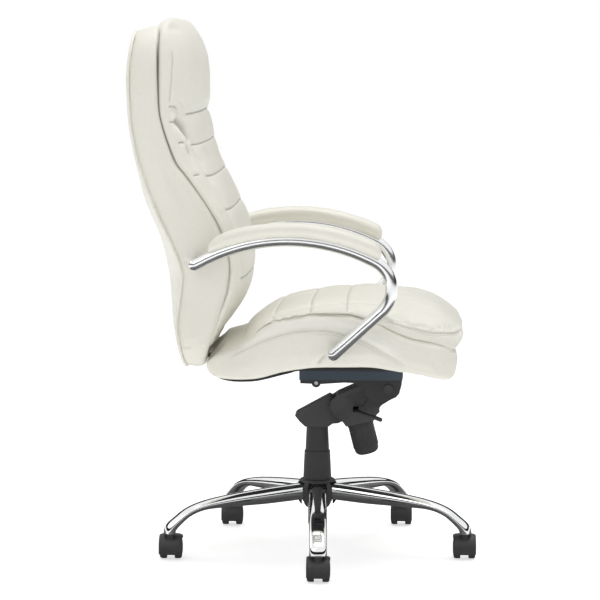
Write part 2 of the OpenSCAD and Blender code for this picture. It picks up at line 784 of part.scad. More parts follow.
base_legs();
base_hub();
hub_cover();
cover_lower();
column_tube();
column_bush();
thrust_bearing();
castor_sleeves();
castor_stems();
piston_rod();
gas_cylinder();
cover_upper();
tilt_housing();
knee_bushes();
torsion_springs();
valve_pin();
tension_knob();
tension_screw();
spring_traverse();
lock_slider();
lever_rod();
lever_grip();
seat_plate();
plate_pins();
dust_cover();
seat_board();
seat_cushion();
seat_pillow();
back_bracket();
back_board();
back_panel();
back_cushion();
back_pad();
headrest();
arm_brackets();
arm_left();
arm_right();
arm_left_pad();
arm_right_pad();
bolts();
for (k = [1:5]) {
    at_castor(k) castor_hood();
    at_castor(k) castor_axle();
    at_castor(k) mirror([1, 0, 0]) castor_wheel();
    at_castor(k) castor_wheel();
}
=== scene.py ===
"""Swivel office chair: the looks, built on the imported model. Metres, +X forward, +Y left, +Z up."""
import json
import math

import bpy
import numpy as np
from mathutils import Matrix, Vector
from mathutils.bvhtree import BVHTree


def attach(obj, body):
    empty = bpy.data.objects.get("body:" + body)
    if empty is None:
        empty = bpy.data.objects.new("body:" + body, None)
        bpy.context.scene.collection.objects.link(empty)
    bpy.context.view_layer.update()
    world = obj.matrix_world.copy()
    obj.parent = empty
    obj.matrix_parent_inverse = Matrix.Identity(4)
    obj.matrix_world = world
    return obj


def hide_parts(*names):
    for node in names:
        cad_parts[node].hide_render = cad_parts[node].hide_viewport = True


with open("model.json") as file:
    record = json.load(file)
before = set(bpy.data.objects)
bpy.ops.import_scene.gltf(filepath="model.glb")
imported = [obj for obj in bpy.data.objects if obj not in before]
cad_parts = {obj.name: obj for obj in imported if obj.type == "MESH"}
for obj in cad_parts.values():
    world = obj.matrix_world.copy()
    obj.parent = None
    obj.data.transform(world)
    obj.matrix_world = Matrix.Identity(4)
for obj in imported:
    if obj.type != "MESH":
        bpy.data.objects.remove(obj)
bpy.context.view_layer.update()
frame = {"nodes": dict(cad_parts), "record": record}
scene = bpy.context.scene
MM = 0.001


# ---------- lines and outlines ----------

def smooth_line(points, steps=8):
    """Points on the smooth curve through a list of points."""
    p = np.array(points, float)
    out = []
    for i in range(len(p) - 1):
        a, b, c, d = p[max(i - 1, 0)], p[i], p[i + 1], p[min(i + 2, len(p) - 1)]
        for s in range(steps):
            u = s / steps
            out.append(0.5 * (2 * b + (c - a) * u + (2 * a - 5 * b + 4 * c - d) * u * u
                              + (3 * b - a - 3 * c + d) * u ** 3))
    return np.array(out + [p[-1]])


def reader(points, across=1, along=0):
    """A function that gives one coordinate of a line from the other, both in millimetres."""
    line = smooth_line(points)
    order = np.argsort(line[:, across], kind="stable")
    return lambda at: np.interp(at, line[order, across], line[order, along])


def smooth_step(x, low, high):
    """0 below low, 1 above high and an even change between them."""
    t = np.clip((np.asarray(x, float) - low) / (high - low), 0, 1)
    return t * t * (3 - 2 * t)


def signed_power(value, exponent):
    """A sine or cosine raised to a power with its sign kept, which squares off a circle."""
    return math.copysign(abs(value) ** exponent, value)


def rounded_outline(half_w, low, high, r_low, r_high, spacing):
    """Points and outward normals round an upright rectangle with round corners, in Y and Z."""
    path, outward = [], []

    def straight(a, b, n):
        count = max(int(math.dist(a, b) / spacing), 1)
        for i in range(count):
            t = i / count
            path.append((a[0] + (b[0] - a[0]) * t, a[1] + (b[1] - a[1]) * t))
            outward.append(n)

    def corner(c, r, start):
        count = max(int(r * math.pi / 2 / spacing), 4)
        for i in range(count):
            a = math.radians(start + 90 * i / count)
            path.append((c[0] + r * math.cos(a), c[1] + r * math.sin(a)))
            outward.append((math.cos(a), math.sin(a)))

    w, rl, rh = half_w, r_low, r_high
    straight((-w + rl, low), (w - rl, low), (0, -1))
    corner((w - rl, low + rl), rl, -90)
    straight((w, low + rl), (w, high - rh), (1, 0))
    corner((w - rh, high - rh), rh, 0)
    straight((w - rh, high), (-w + rh, high), (0, 1))
    corner((-w + rh, high - rh), rh, 90)
    straight((-w, high - rh), (-w, low + rl), (-1, 0))
    corner((-w + rl, low + rl), rl, 180)
    return np.array(path), np.array(outward)


# The back from the side, in X and Z and in millimetres: the line of its piping, the bulge of its
# rear panel, the seam at its front edge and the fronts of its pad and its headrest
PIPING = [(-262, 424), (-276, 445), (-285, 481), (-292, 530), (-285, 590), (-281, 645), (-302, 705),
          (-335, 776), (-367, 862), (-386, 950), (-391, 1040), (-389, 1090), (-381, 1150)]
REAR = [(-262, 436), (-284, 441), (-296, 460), (-311, 500), (-315, 550), (-320, 600), (-328, 650),
        (-340, 700), (-357, 750), (-376, 800), (-390, 860), (-402, 920), (-409, 980),
        (-413, 1040), (-407, 1100), (-398, 1140), (-392, 1158)]
SEAM = [(-237, 432), (-231, 460), (-222, 490), (-208, 530), (-196, 565), (-182, 612), (-179, 667),
        (-197, 733), (-224, 782), (-268, 847), (-290, 875), (-308, 917), (-321, 957), (-327, 990),
        (-328, 1057), (-327, 1120), (-326, 1178)]
FRONT = [(-212, 490), (-206, 503), (-189, 527), (-169, 557), (-151, 587), (-141, 616), (-138, 645),
         (-141, 668), (-155, 746), (-174, 791), (-191, 827), (-206, 860), (-219, 885), (-229, 925),
         (-237, 960), (-243, 990)]
HEAD = [(-245, 984), (-240, 1008), (-239, 1040), (-240, 1073), (-245, 1108), (-256, 1140),
        (-266, 1158), (-276, 1172), (-290, 1181), (-309, 1185)]
piping_x, rear_x, seam_x = reader(PIPING), reader(REAR), reader(SEAM)
front_x, head_x = reader(FRONT), reader(HEAD)

# The seat from the side: the lower and upper lines of its base and of the pillow on it

SEAT_LOW = [(-233, 452), (-230, 440), (-222, 428), (-206, 420), (-180, 416), (-150, 415),
            (-115, 418), (-59, 432), (-11, 441), (70, 443), (135, 442), (190, 434), (232, 425),
            (262, 419), (286, 415), (299, 424), (306, 458)]
SEAT_HIGH = [(-233, 452), (-229, 462), (-220, 475), (-208, 484), (-189, 490), (-169, 495),
             (-150, 504), (-120, 525), (-89, 545), (-37, 559), (21, 565), (73, 563), (105, 555),
             (138, 543), (167, 530), (208, 510), (248, 501), (287, 492), (301, 482), (306, 458)]
PILLOW_LOW = [(-158, 500), (-120, 523), (-89, 541), (-37, 554), (21, 560), (73, 558), (105, 550),
              (138, 538), (167, 525), (208, 506), (248, 499), (280, 489), (296, 483), (307, 490),
              (315, 503), (320, 522)]
PILLOW_HIGH = [(-158, 502), (-153, 514), (-143, 525), (-104, 548), (-53, 566), (-2, 577), (65, 585),
               (116, 588), (174, 589), (218, 586), (263, 571), (293, 552), (312, 536), (318, 528),
               (320, 522)]
base_low, base_high = reader(SEAT_LOW, 0, 1), reader(SEAT_HIGH, 0, 1)
pillow_low, pillow_high = reader(PILLOW_LOW, 0, 1), reader(PILLOW_HIGH, 0, 1)


# ---------- meshes ----------

def new_object(name, points, faces, smooth=True):
    """A mesh object from points in metres."""
    mesh = bpy.data.meshes.new(name)
    mesh.from_pydata([tuple(map(float, p)) for p in points], [], [tuple(map(int, f)) for f in faces])
    mesh.validate()
    mesh.update()
    obj = bpy.data.objects.new(name, mesh)
    scene.collection.objects.link(obj)
    if smooth:
        mesh.polygons.foreach_set("use_smooth", [True] * len(mesh.polygons))
    return obj


def loft(name, rings, caps=True):
    """A skin over rings of points in millimetres, each with the same number of points."""
    rings = np.array(rings, float)
    count, n = rings.shape[:2]
    faces = []
    for k in range(count - 1):
        for i in range(n):
            j = (i + 1) % n
            faces.append((k * n + i, k * n + j, (k + 1) * n + j, (k + 1) * n + i))
    points = list(rings.reshape(-1, 3) * MM)
    if caps:
        for k in (0, count - 1):
            centre = len(points)
            points.append(rings[k].mean(0) * MM)
            for i in range(n):
                a, b = k * n + i, k * n + (i + 1) % n
                faces.append((centre, a, b) if k else (centre, b, a))
    return new_object(name, points, faces)


def coords(obj):
    """The vertices of an object as an array."""
    co = np.zeros(len(obj.data.vertices) * 3)
    obj.data.vertices.foreach_get("co", co)
    return co.reshape(-1, 3)


def set_coords(obj, co):
    obj.data.vertices.foreach_set("co", co.astype(np.float32).ravel())
    obj.data.update()


def normals(obj):
    n = np.zeros(len(obj.data.vertices) * 3)
    obj.data.vertices.foreach_get("normal", n)
    return n.reshape(-1, 3)


def apply_modifiers(obj):
    """Replaces the mesh with what its modifiers make of it."""
    graph = bpy.context.evaluated_depsgraph_get()
    mesh = bpy.data.meshes.new_from_object(obj.evaluated_get(graph), depsgraph=graph)
    obj.modifiers.clear()
    old = obj.data
    obj.data = mesh
    bpy.data.meshes.remove(old)
    mesh.polygons.foreach_set("use_smooth", [True] * len(mesh.polygons))
    mesh.update()


def remesh(obj, voxel, smoothing):
    """Turns a skin into an even, slightly smoothed mesh."""
    m = obj.modifiers.new("remesh", "REMESH")
    m.mode = "VOXEL"
    m.voxel_size = voxel
    m.use_smooth_shade = True
    s = obj.modifiers.new("smooth", "SMOOTH")
    s.factor = 0.5
    s.iterations = smoothing
    apply_modifiers(obj)


def puff(obj, pressure, cap, pinned=None, frames=16):
    """Inflates a closed mesh as cloth, and lets no point move further than cap."""
    rest = coords(obj)
    if pinned is not None:
        group = obj.vertex_groups.new(name="pinned")
        for i in np.nonzero(pinned > 0.02)[0]:
            group.add([int(i)], float(min(pinned[i], 1)), "REPLACE")
    m = obj.modifiers.new("cloth", "CLOTH")
    m.settings.quality = 4
    m.settings.mass = 0.35
    m.settings.tension_stiffness = 12
    m.settings.compression_stiffness = 12
    m.settings.bending_stiffness = 1.2
    m.settings.use_pressure = True
    m.settings.uniform_pressure_force = pressure
    m.settings.effector_weights.gravity = 0
    if pinned is not None:
        m.settings.vertex_group_mass = "pinned"
    m.collision_settings.use_collision = False
    m.point_cache.frame_start, m.point_cache.frame_end = 1, frames
    for f in range(1, frames + 1):
        scene.frame_set(f)
    apply_modifiers(obj)
    scene.frame_set(1)
    moved = coords(obj) - rest
    length = np.maximum(np.linalg.norm(moved, axis=1), 1e-9)
    set_coords(obj, rest + moved * (np.minimum(length, cap) / length)[:, None])
    obj.vertex_groups.clear()


def subdivide(obj):
    m = obj.modifiers.new("subdivision", "SUBSURF")
    m.levels = m.render_levels = 1
    apply_modifiers(obj)


def distance_to(co, path):
    """How far each point is from a path, and how far along the path the nearest place is."""
    path = np.array(path, float)
    best = np.full(len(co), 1e9)
    along = np.zeros(len(co))
    lengths = np.linalg.norm(np.diff(path, axis=0), axis=1)
    total, start = max(lengths.sum(), 1e-9), 0.0
    for a, b, length in zip(path[:-1], path[1:], lengths):
        ab = b - a
        t = np.clip(((co - a) @ ab) / max(length ** 2, 1e-12), 0, 1)
        d = np.linalg.norm(co - (a + t[:, None] * ab), axis=1)
        nearer = d < best
        best[nearer] = d[nearer]
        along[nearer] = ((start + t * length) / total)[nearer]
        start += length
    return best, along


def fold(path, width, height, taper, both_sides=True, dark=0.0, painted_shading=0.0):
    """A fold along a path in millimetres: raised or lowered by height, fading out at its ends.

    Dark paints a line of shade along it, and the last value paints shade over its whole width or,
    below 0, a highlight.
    """
    return path, width, height, taper, both_sides, dark, painted_shading


def press(obj, folds):
    """Presses folds into the surface, all from the same starting shape."""
    co, n = coords(obj), normals(obj)
    shade, painted_shading_total = shade_of(obj), shade_of(obj, "painted_shading")
    moved = np.zeros(len(co))
    surface = outer_surface(obj)
    for path, width, height, taper, both_sides, dark, painted_shading in folds:
        path = smooth_line(path, 5)
        for side in ((1, -1) if both_sides else (1,)):
            p = np.array([surface.find_nearest(Vector(q))[0] for q in path * (1, side, 1) * MM])
            reach = 3 * width * MM
            near = np.nonzero(np.all((co > p.min(0) - reach) & (co < p.max(0) + reach), axis=1))[0]
            if not len(near):
                continue
            d, t = distance_to(co[near], p)
            ends = smooth_step(t, 0, taper) * smooth_step(1 - t, 0, taper)
            share = np.exp(-(d / (width * MM)) ** 2) * ends
            moved[near] += height * MM * share
            # painted shade over the fold's width, or a painted highlight where its value is below 0,
            # and a painted shade line along it
            painted_shading_total[near] += painted_shading * share
            if dark:
                line = dark * np.exp(-(d / (1.3 * MM)) ** 2) * np.sqrt(ends)
                shade[near] = np.maximum(shade[near], line)
    set_coords(obj, co + n * moved[:, None])
    keep_shade(obj, shade)
    keep_shade(obj, painted_shading_total, "painted_shading")


def shade_of(obj, name="seam"):
    """Painted shade at each point along seams and folds, or, in the second layer, painted shade and
    highlight (below 0) over its leather.
    """
    layer = obj.data.attributes.get(name)
    values = np.zeros(len(obj.data.vertices))
    if layer:
        layer.data.foreach_get("value", values)
    return values


def keep_shade(obj, values, name="seam"):
    layer = obj.data.attributes.get(name) or obj.data.attributes.new(name, "FLOAT", "POINT")
    layer.data.foreach_set("value", values.astype(np.float32))


def wrinkle(obj, where, size, height, seed, stretch=(1, 1, 1)):
    """Soft uneven waves in the leather, as strong as where says at each point."""
    rng = np.random.default_rng(seed)
    co, n = coords(obj), normals(obj)
    scaled = co * np.array(stretch)
    total = np.zeros(len(co))
    for k in range(9):
        direction = rng.normal(size=3)
        direction /= np.linalg.norm(direction)
        wave = 2 * math.pi / (size * MM * rng.uniform(0.7, 1.6))
        bend = 0.6 * np.sin(scaled @ rng.normal(size=3) * wave * 0.35 + rng.uniform(0, 6.28))
        total += np.sin(scaled @ direction * wave + rng.uniform(0, 6.28) + bend)
    set_coords(obj, co + n * (total / 4.5 * height * MM * where)[:, None])


def outer_surface(obj):
    """The surface of an object for finding points on it."""
    graph = bpy.context.evaluated_depsgraph_get()
    return BVHTree.FromObject(obj, graph)


def closed_cord(name, path, radius, sides=12):
    """A round cord along a closed path that starts out across the chair."""
    tangents = np.roll(path, -1, 0) - np.roll(path, 1, 0)
    tangents /= np.linalg.norm(tangents, axis=1)[:, None]
    up = np.array([1.0, 0, 0])
    rings = []
    for p, t in zip(path, tangents):
        side = np.cross(t, up)
        side /= np.linalg.norm(side)
        up = np.cross(side, t)
        rings.append([p + radius * (math.cos(a) * up + math.sin(a) * side)
                      for a in np.arange(sides) * 2 * math.pi / sides])
    return loft(name, rings + [rings[0]], caps=False)


def stitches(name, path, surface, length=4.6, gap=1.9, radius=0.62, lift=0.25):
    """A row of thread stitches laid on a surface along a path in millimetres."""
    path = np.array(path, float) * MM
    steps = np.linalg.norm(np.diff(path, axis=0), axis=1)
    at = np.concatenate([[0], np.cumsum(steps)])
    points, faces = [], []
    here = 0.0
    while here + length * MM < at[-1]:
        row = []
        for share, r in ((0, 0.35), (0.25, 1), (0.75, 1), (1, 0.35)):
            s = here + share * length * MM
            p = np.array([np.interp(s, at, path[:, k]) for k in range(3)])
            hit, normal, _, _ = surface.find_nearest(Vector(p))
            row.append((np.array(hit) + np.array(normal) * lift * MM, np.array(normal), r))
        direction = row[-1][0] - row[0][0]
        direction /= max(np.linalg.norm(direction), 1e-9)
        start = len(points)
        for p, n, r in row:
            side = np.cross(direction, n)
            for a in np.arange(6) * math.pi / 3:
                points.append(p + radius * MM * r * (math.cos(a) * n + math.sin(a) * side))
        for k in range(3):
            for i in range(6):
                j = (i + 1) % 6
                faces.append((start + 6 * k + i, start + 6 * k + j,
                              start + 6 * k + 6 + j, start + 6 * k + 6 + i))
        faces.append(tuple(start + i for i in range(5, -1, -1)))
        faces.append(tuple(start + 18 + i for i in range(6)))
        here += (length + gap) * MM
    return new_object(name, points, faces)


# ---------- materials ----------

class Nodes:
    """A short way to build a material's node tree."""

    def __init__(self, name):
        self.material = bpy.data.materials.new(name)
        self.material.use_nodes = True
        self.tree = self.material.node_tree
        self.tree.nodes.clear()
        self.shader = self.add("ShaderNodeBsdfPrincipled")
        out = self.add("ShaderNodeOutputMaterial")
        self.link(self.shader.outputs[0], out.inputs[0])
        self.at = self.add("ShaderNodeTexCoord").outputs["Object"]

    def add(self, kind, **values):
        node = self.tree.nodes.new(kind)
        for key, value in values.items():
            setattr(node, key, value)
        return node

    def link(self, a, b):
        self.tree.links.new(a, b)

    def set(self, **values):
        for key, value in values.items():
            self.shader.inputs[key.replace("_", " ")].default_value = value

    def noise(self, scale, detail=3.0, rough=0.55, stretch=None):
        node = self.add("ShaderNodeTexNoise")
        node.inputs["Scale"].default_value = scale
        node.inputs["Detail"].default_value = detail
        node.inputs["Roughness"].default_value = rough
        self.link(self.stretched(stretch), node.inputs["Vector"])
        return node.outputs["Fac"]

    def stretched(self, stretch):
        if stretch is None:
            return self.at
        m = self.add("ShaderNodeMapping")
        m.inputs["Scale"].default_value = stretch
        self.link(self.at, m.inputs["Vector"])
        return m.outputs[0]

    def cells(self, scale):
        node = self.add("ShaderNodeTexVoronoi", feature="DISTANCE_TO_EDGE")
        node.inputs["Scale"].default_value = scale
        self.link(self.at, node.inputs["Vector"])
        return node.outputs["Distance"]

    def wave(self, scale, direction):
        node = self.add("ShaderNodeTexWave", bands_direction=direction)
        node.inputs["Scale"].default_value = scale
        self.link(self.at, node.inputs["Vector"])
        return node.outputs["Fac"]

    def place(self):
        """Where a point lies in X, Y and Z, as three outputs."""
        node = self.add("ShaderNodeSeparateXYZ")
        self.link(self.at, node.inputs[0])
        return node.outputs

    def ramp(self, value, low, high, to_low=0.0, to_high=1.0):
        node = self.add("ShaderNodeMapRange")
        for i, v in enumerate((low, high, to_low, to_high), 1):
            node.inputs[i].default_value = v
        self.link(value, node.inputs[0])
        return node.outputs[0]

    def mix(self, factor, a, b):
        node = self.add("ShaderNodeMix", data_type="RGBA")
        self.link(factor, node.inputs["Factor"])
        for name, value in (("A", a), ("B", b)):
            socket = next(s for s in node.inputs if s.name == name and s.type == "RGBA")
            if isinstance(value, tuple):
                socket.default_value = (*value, 1)
            else:
                self.link(value, socket)
        return next(s for s in node.outputs if s.type == "RGBA")

    def maths(self, operation, a, b):
        node = self.add("ShaderNodeMath", operation=operation)
        for socket, value in zip(node.inputs, (a, b)):
            if isinstance(value, (int, float)):
                socket.default_value = value
            else:
                self.link(value, socket)
        return node.outputs[0]

    def bump(self, *layers):
        """Each layer is a height, its strength and its depth in metres."""
        normal = None
        for height, strength, depth in layers:
            node = self.add("ShaderNodeBump")
            node.inputs["Strength"].default_value = strength
            node.inputs["Distance"].default_value = depth
            self.link(height, node.inputs["Height"])
            if normal is not None:
                self.link(normal, node.inputs["Normal"])
            normal = node.outputs[0]
        self.link(normal, self.shader.inputs["Normal"])

    def colour(self, socket):
        self.link(socket, self.shader.inputs["Base Color"])

    def rough(self, socket):
        self.link(socket, self.shader.inputs["Roughness"])


def leather_material(name, light, deep):
    m = Nodes(name)
    broad = m.ramp(m.noise(7, 4), 0.35, 0.65)
    fine = m.ramp(m.noise(260, 2), 0.3, 0.7)
    body = m.mix(m.maths("MULTIPLY", m.maths("ADD", broad, fine), 0.5), light, deep)
    # painted light and shade from the mesh's layers: shade along seams, grooves and folds, shade in
    # hollows, and a pale painted highlight where the second layer is below 0
    seam = m.add("ShaderNodeAttribute", attribute_name="seam").outputs["Fac"]
    painted_shading = m.add("ShaderNodeAttribute", attribute_name="painted_shading").outputs["Fac"]
    body = m.mix(painted_shading, body, tuple(0.5 * c for c in deep))
    body = m.mix(m.maths("MULTIPLY", painted_shading, -1.0), body, (0.98, 0.97, 0.92))
    m.colour(m.mix(seam, body, tuple(0.32 * c for c in deep)))
    pores = m.ramp(m.cells(820), 0.0, 0.16)
    creases = m.ramp(m.noise(95, 5, 0.6), 0.35, 0.65)
    m.bump((pores, 0.22, 0.0003), (creases, 0.16, 0.0008))
    m.rough(m.ramp(m.noise(40, 3), 0.3, 0.7, 0.40, 0.52))
    m.set(Specular_IOR_Level=0.42, Coat_Weight=0.08, Coat_Roughness=0.35, Sheen_Weight=0.08,
          Sheen_Roughness=0.5)
    return m.material


def thread_material():
    m = Nodes("cream_thread")
    twist = m.wave(900, "DIAGONAL")
    m.colour(m.mix(twist, (0.62, 0.59, 0.50), (0.78, 0.76, 0.68)))
    m.bump((twist, 0.5, 0.0002))
    m.set(Roughness=0.6, Sheen_Weight=0.3)
    return m.material


PAINTED = (0.036, 0.036, 0.037)


def chrome_colour(m):
    return m.mix(m.noise(18, 3), (0.80, 0.81, 0.82), (0.90, 0.905, 0.91))


def chrome_material(name, smooth, worn):
    m = Nodes(name)
    m.colour(chrome_colour(m))
    m.rough(m.ramp(m.noise(60, 4), 0.3, 0.75, smooth, worn))
    m.bump((m.noise(14, 2), 0.05, 0.002))
    m.set(Metallic=1.0)
    return m.material


def leg_material():
    """Chrome legs whose roots are black inside the hub's cover."""
    m = Nodes("leg_chrome")
    x, y, _ = m.place()
    square = m.maths("ADD", m.maths("MULTIPLY", x, x), m.maths("MULTIPLY", y, y))
    bare = m.ramp(m.maths("SQRT", square, 0.0), 0.0440, 0.0452)
    m.colour(m.mix(bare, PAINTED, chrome_colour(m)))
    m.link(bare, m.shader.inputs["Metallic"])
    polish = m.ramp(m.noise(60, 4), 0.3, 0.75, 0.035, 0.10)
    m.rough(m.maths("MAXIMUM", polish, m.maths("MULTIPLY", m.maths("SUBTRACT", 1.0, bare), 0.45)))
    m.bump((m.noise(14, 2), 0.05, 0.002))
    return m.material


STEEL_TONES = (0.55, 0.56, 0.57), (0.74, 0.75, 0.76)


def steel_material(name, dark, light, rough):
    m = Nodes(name)
    brushed = m.noise(420, 3, 0.6, (1, 1, 0.12))
    m.colour(m.mix(brushed, dark, light))
    m.rough(m.ramp(m.noise(90, 3), 0.3, 0.7, rough - 0.06, rough + 0.1))
    m.bump((brushed, 0.12, 0.0002))
    m.set(Metallic=0.9)
    return m.material


def paint_material():
    """Stoved black paint, a little uneven, rubbed on its edges and given a painted highlight along
    them.
    """
    m = Nodes("black_paint")
    # sharp edges are paler: partly rubbed paint, partly a painted highlight
    worn = m.ramp(m.add("ShaderNodeNewGeometry").outputs["Pointiness"], 0.53, 0.62)
    base = m.mix(m.noise(30, 4), (0.030, 0.030, 0.031), (0.044, 0.044, 0.045))
    m.colour(m.mix(m.maths("MULTIPLY", worn, 0.35), base, (0.10, 0.10, 0.105)))
    m.rough(m.ramp(m.noise(220, 3), 0.3, 0.7, 0.37, 0.50))
    m.bump((m.noise(520, 2), 0.12, 0.0003), (m.noise(60, 3), 0.06, 0.0008))
    m.set(Specular_IOR_Level=0.4)
    return m.material


def plate_material():
    """The seat plate: its outer skirt is blue-black, the channel is plain black."""
    m = Nodes("blue_black_plate")
    skirt = m.ramp(m.maths("ABSOLUTE", m.place()[1], 0.0), 0.0885, 0.0895)
    black = m.mix(m.noise(30, 4), (0.028, 0.028, 0.030), (0.042, 0.042, 0.044))
    blue = m.mix(m.noise(22, 4), (0.038, 0.055, 0.078), (0.052, 0.072, 0.098))
    m.colour(m.mix(skirt, black, blue))
    m.rough(m.ramp(m.noise(200, 3), 0.3, 0.7, 0.38, 0.5))
    m.bump((m.noise(520, 2), 0.12, 0.0003))
    m.set(Specular_IOR_Level=0.4)
    return m.material


def pins_material():
    """The seat plate's pins: the axle's caps are painted black, the rear pins are bright."""
    m = Nodes("plate_pin_ends")
    rear = m.ramp(m.place()[0], 0.06, 0.05)
    steel = m.mix(m.noise(300, 3), *STEEL_TONES)
    m.colour(m.mix(rear, PAINTED, steel))
    m.link(rear, m.shader.inputs["Metallic"])
    m.rough(m.ramp(m.noise(90, 3), 0.3, 0.7, 0.3, 0.45))
    m.bump((m.noise(420, 2), 0.12, 0.0002))
    return m.material


def plastic_material(name, dark, light, rough, grain=900):
    """Moulded plastic with a fine spark-eroded grain."""
    m = Nodes(name)
    m.colour(m.mix(m.noise(24, 4), dark, light))
    m.rough(m.ramp(m.noise(140, 3), 0.3, 0.7, rough - 0.05, rough + 0.07))
    m.bump((m.noise(grain, 2, 0.7), 0.22, 0.0003))
    m.set(Specular_IOR_Level=0.38)
    return m.material


def plywood_material():
    m = Nodes("plywood")
    grain = m.noise(26, 6, 0.62, (0.25, 6, 1))
    plies = m.ramp(m.wave(160, "Z"), 0.35, 0.65)
    face = m.mix(grain, (0.50, 0.33, 0.17), (0.70, 0.52, 0.32))
    m.colour(m.mix(m.maths("MULTIPLY", plies, 0.35), face, (0.36, 0.23, 0.12)))
    m.bump((grain, 0.25, 0.0006))
    m.set(Roughness=0.62)
    return m.material


def cloth_material():
    """Woven black lining cloth."""
    m = Nodes("black_lining_cloth")
    weft, warp = m.wave(420, "X"), m.wave(420, "Y")
    weave = m.maths("MULTIPLY", weft, warp)
    m.colour(m.mix(weave, (0.010, 0.010, 0.011), (0.045, 0.045, 0.048)))
    m.bump((weave, 0.6, 0.0004))
    m.set(Roughness=0.85, Sheen_Weight=0.25, Sheen_Roughness=0.4)
    return m.material


LEATHER = leather_material("cream_leather", (0.82, 0.805, 0.725), (0.765, 0.75, 0.665))
PIPE_LEATHER = leather_material("cream_leather_piping", (0.85, 0.84, 0.77), (0.80, 0.785, 0.70))
THREAD = thread_material()
CHROME = chrome_material("polished_chrome", 0.035, 0.10)
LEG_CHROME = leg_material()
ARM_CHROME = chrome_material("soft_chrome", 0.17, 0.25)
CASTOR = plastic_material("castor_plastic", (0.030, 0.030, 0.031), (0.044, 0.044, 0.045), 0.44)
PLASTIC = plastic_material("black_plastic", (0.034, 0.034, 0.035), (0.046, 0.046, 0.047), 0.5)
PAINT = paint_material()
PLATE = plate_material()
BRIGHT = steel_material("bright_steel", *STEEL_TONES, 0.25)
DARK_STEEL = steel_material("dark_steel", (0.06, 0.06, 0.062), (0.13, 0.13, 0.135), 0.4)
NYLON = plastic_material("white_nylon", (0.74, 0.74, 0.71), (0.82, 0.82, 0.79), 0.4, 300)
WOOD = plywood_material()
CLOTH = cloth_material()
BY_SLOT = {"chrome": CHROME, "bright_steel": BRIGHT, "plain_steel": DARK_STEEL,
           "black_paint": PAINT, "black_plastic": PLASTIC, "castor_plastic": CASTOR,
           "white_nylon": NYLON, "plywood": WOOD, "black_fabric": CLOTH, "foam": LEATHER,
           "leather": LEATHER}


def dress(obj, material):
    obj.data.materials.clear()
    obj.data.materials.append(material)
    return obj


def add_piece(obj, material, body, slot, *nodes):
    """Gives a piece its material and its body, and hides the CAD nodes that it stands for."""
    dress(obj, material)
    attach(obj, body)
    if nodes:
        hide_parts(*nodes)


def soft_piece(obj, slot, fill, *nodes):
    """A padded leather piece that stands for CAD nodes and rides with the seat."""
    add_piece(obj, LEATHER, "seat", slot, *nodes)


for part in frame["record"]["subparts"]:
    dress(frame["nodes"][part["node"]], BY_SLOT[part["material_slot"]])
dress(frame["nodes"]["seat_plate"], PLATE)
dress(frame["nodes"]["plate_pins"], pins_material())


# ---------- back ----------

# Outlines of the back from behind: half the width, bottom, top, lower and upper corners' radii
BODY_OUTLINE = (246, 441, 1151, 66, 80)
PANEL_OUTLINE = (244, 443, 1149, 62, 78)
PIPING_OUTLINE = (250.5, 440, 1152, 68, 82)
OUTLINE_STEP = 6
PAD_HALF_W = 250
SIDE_Y = -256
PAD_POWER = 1.85


def polar_fill(outline, shares, x_of):
    """Rings that close an outline towards the middle line of the back."""
    middle = np.array([(0.0, np.clip(z, 640, 960)) for _, z in outline])
    rings = []
    for share in shares:
        at = middle + (outline - middle) * share
        rings.append([(x_of(y, z, share), y, z) for y, z in at])
    return rings


def build_back_body():
    """The side gusset and the cushion behind it, one closed leather form."""
    outline, out = rounded_outline(*BODY_OUTLINE, OUTLINE_STEP)
    z = outline[:, 1]
    rear, front = piping_x(z), seam_x(z)
    rings = polar_fill(outline, (0.05, 0.35, 0.65, 0.9), lambda y, z, s: piping_x(z) + 4)
    # the gusset swells between its seams, and its top runs higher towards the front
    for u in np.linspace(0, 1, 15):
        swell = 9.5 * (1 - abs(2 * u - 1) ** 2.6) - 7 * smooth_step(u, 0.93, 1.0)
        lift = np.where(out[:, 1] > 0, 15 * u ** 0.8 * out[:, 1], 0)
        at = outline + out * (swell * (1 - 0.75 * np.abs(out[:, 1])) + lift)[:, None]
        x = rear + (front - rear) * u
        rings.append(np.column_stack([x, at]))
    inner = rings[-1].copy()
    inner[:, 1:] -= out * 7
    inner[:, 0] += 1
    rings.append(inner)
    rings += polar_fill(inner[:, 1:], (0.9, 0.65, 0.35, 0.05), lambda y, z, s: seam_x(z) - 6)
    obj = loft("back_body", rings)
    remesh(obj, 0.005, 5)
    return obj


def build_back_panel():
    """The rear panel, which bulges behind the piping."""
    outline, _ = rounded_outline(*PANEL_OUTLINE, OUTLINE_STEP)
    rings = polar_fill(outline, (0.05, 0.4, 0.75, 0.97), lambda y, z, s: piping_x(z) + 6)

    def bulge(y, z, share):
        return piping_x(z) + (rear_x(z) - piping_x(z)) * (1 - share ** 2.2) ** 0.9 - 1.0

    shares = (1, 0.985, 0.955, 0.91, 0.85, 0.77, 0.67, 0.55, 0.42, 0.28, 0.14, 0.02)
    obj = loft("back_panel_leather", rings + polar_fill(outline, shares, bulge))
    remesh(obj, 0.005, 5)
    return obj


def pad_ring(z, half_w, back, depth, power, count=72):
    """One level of the front pad: a soft arc from side seam to side seam, closed behind."""
    ring = []
    for i in range(count + 1):
        a = math.pi * i / count
        c, s = math.cos(a), math.sin(a)
        ahead = depth * abs(s) ** (2 / power)
        at_side = half_w - 8 * math.exp(-(ahead / 5) ** 2)
        ring.append((back + ahead, -at_side * signed_power(c, 2 / power), z))
    for t in np.linspace(0.92, -0.92, 24):
        ring.append((back - 9, half_w * t, z))
    return ring


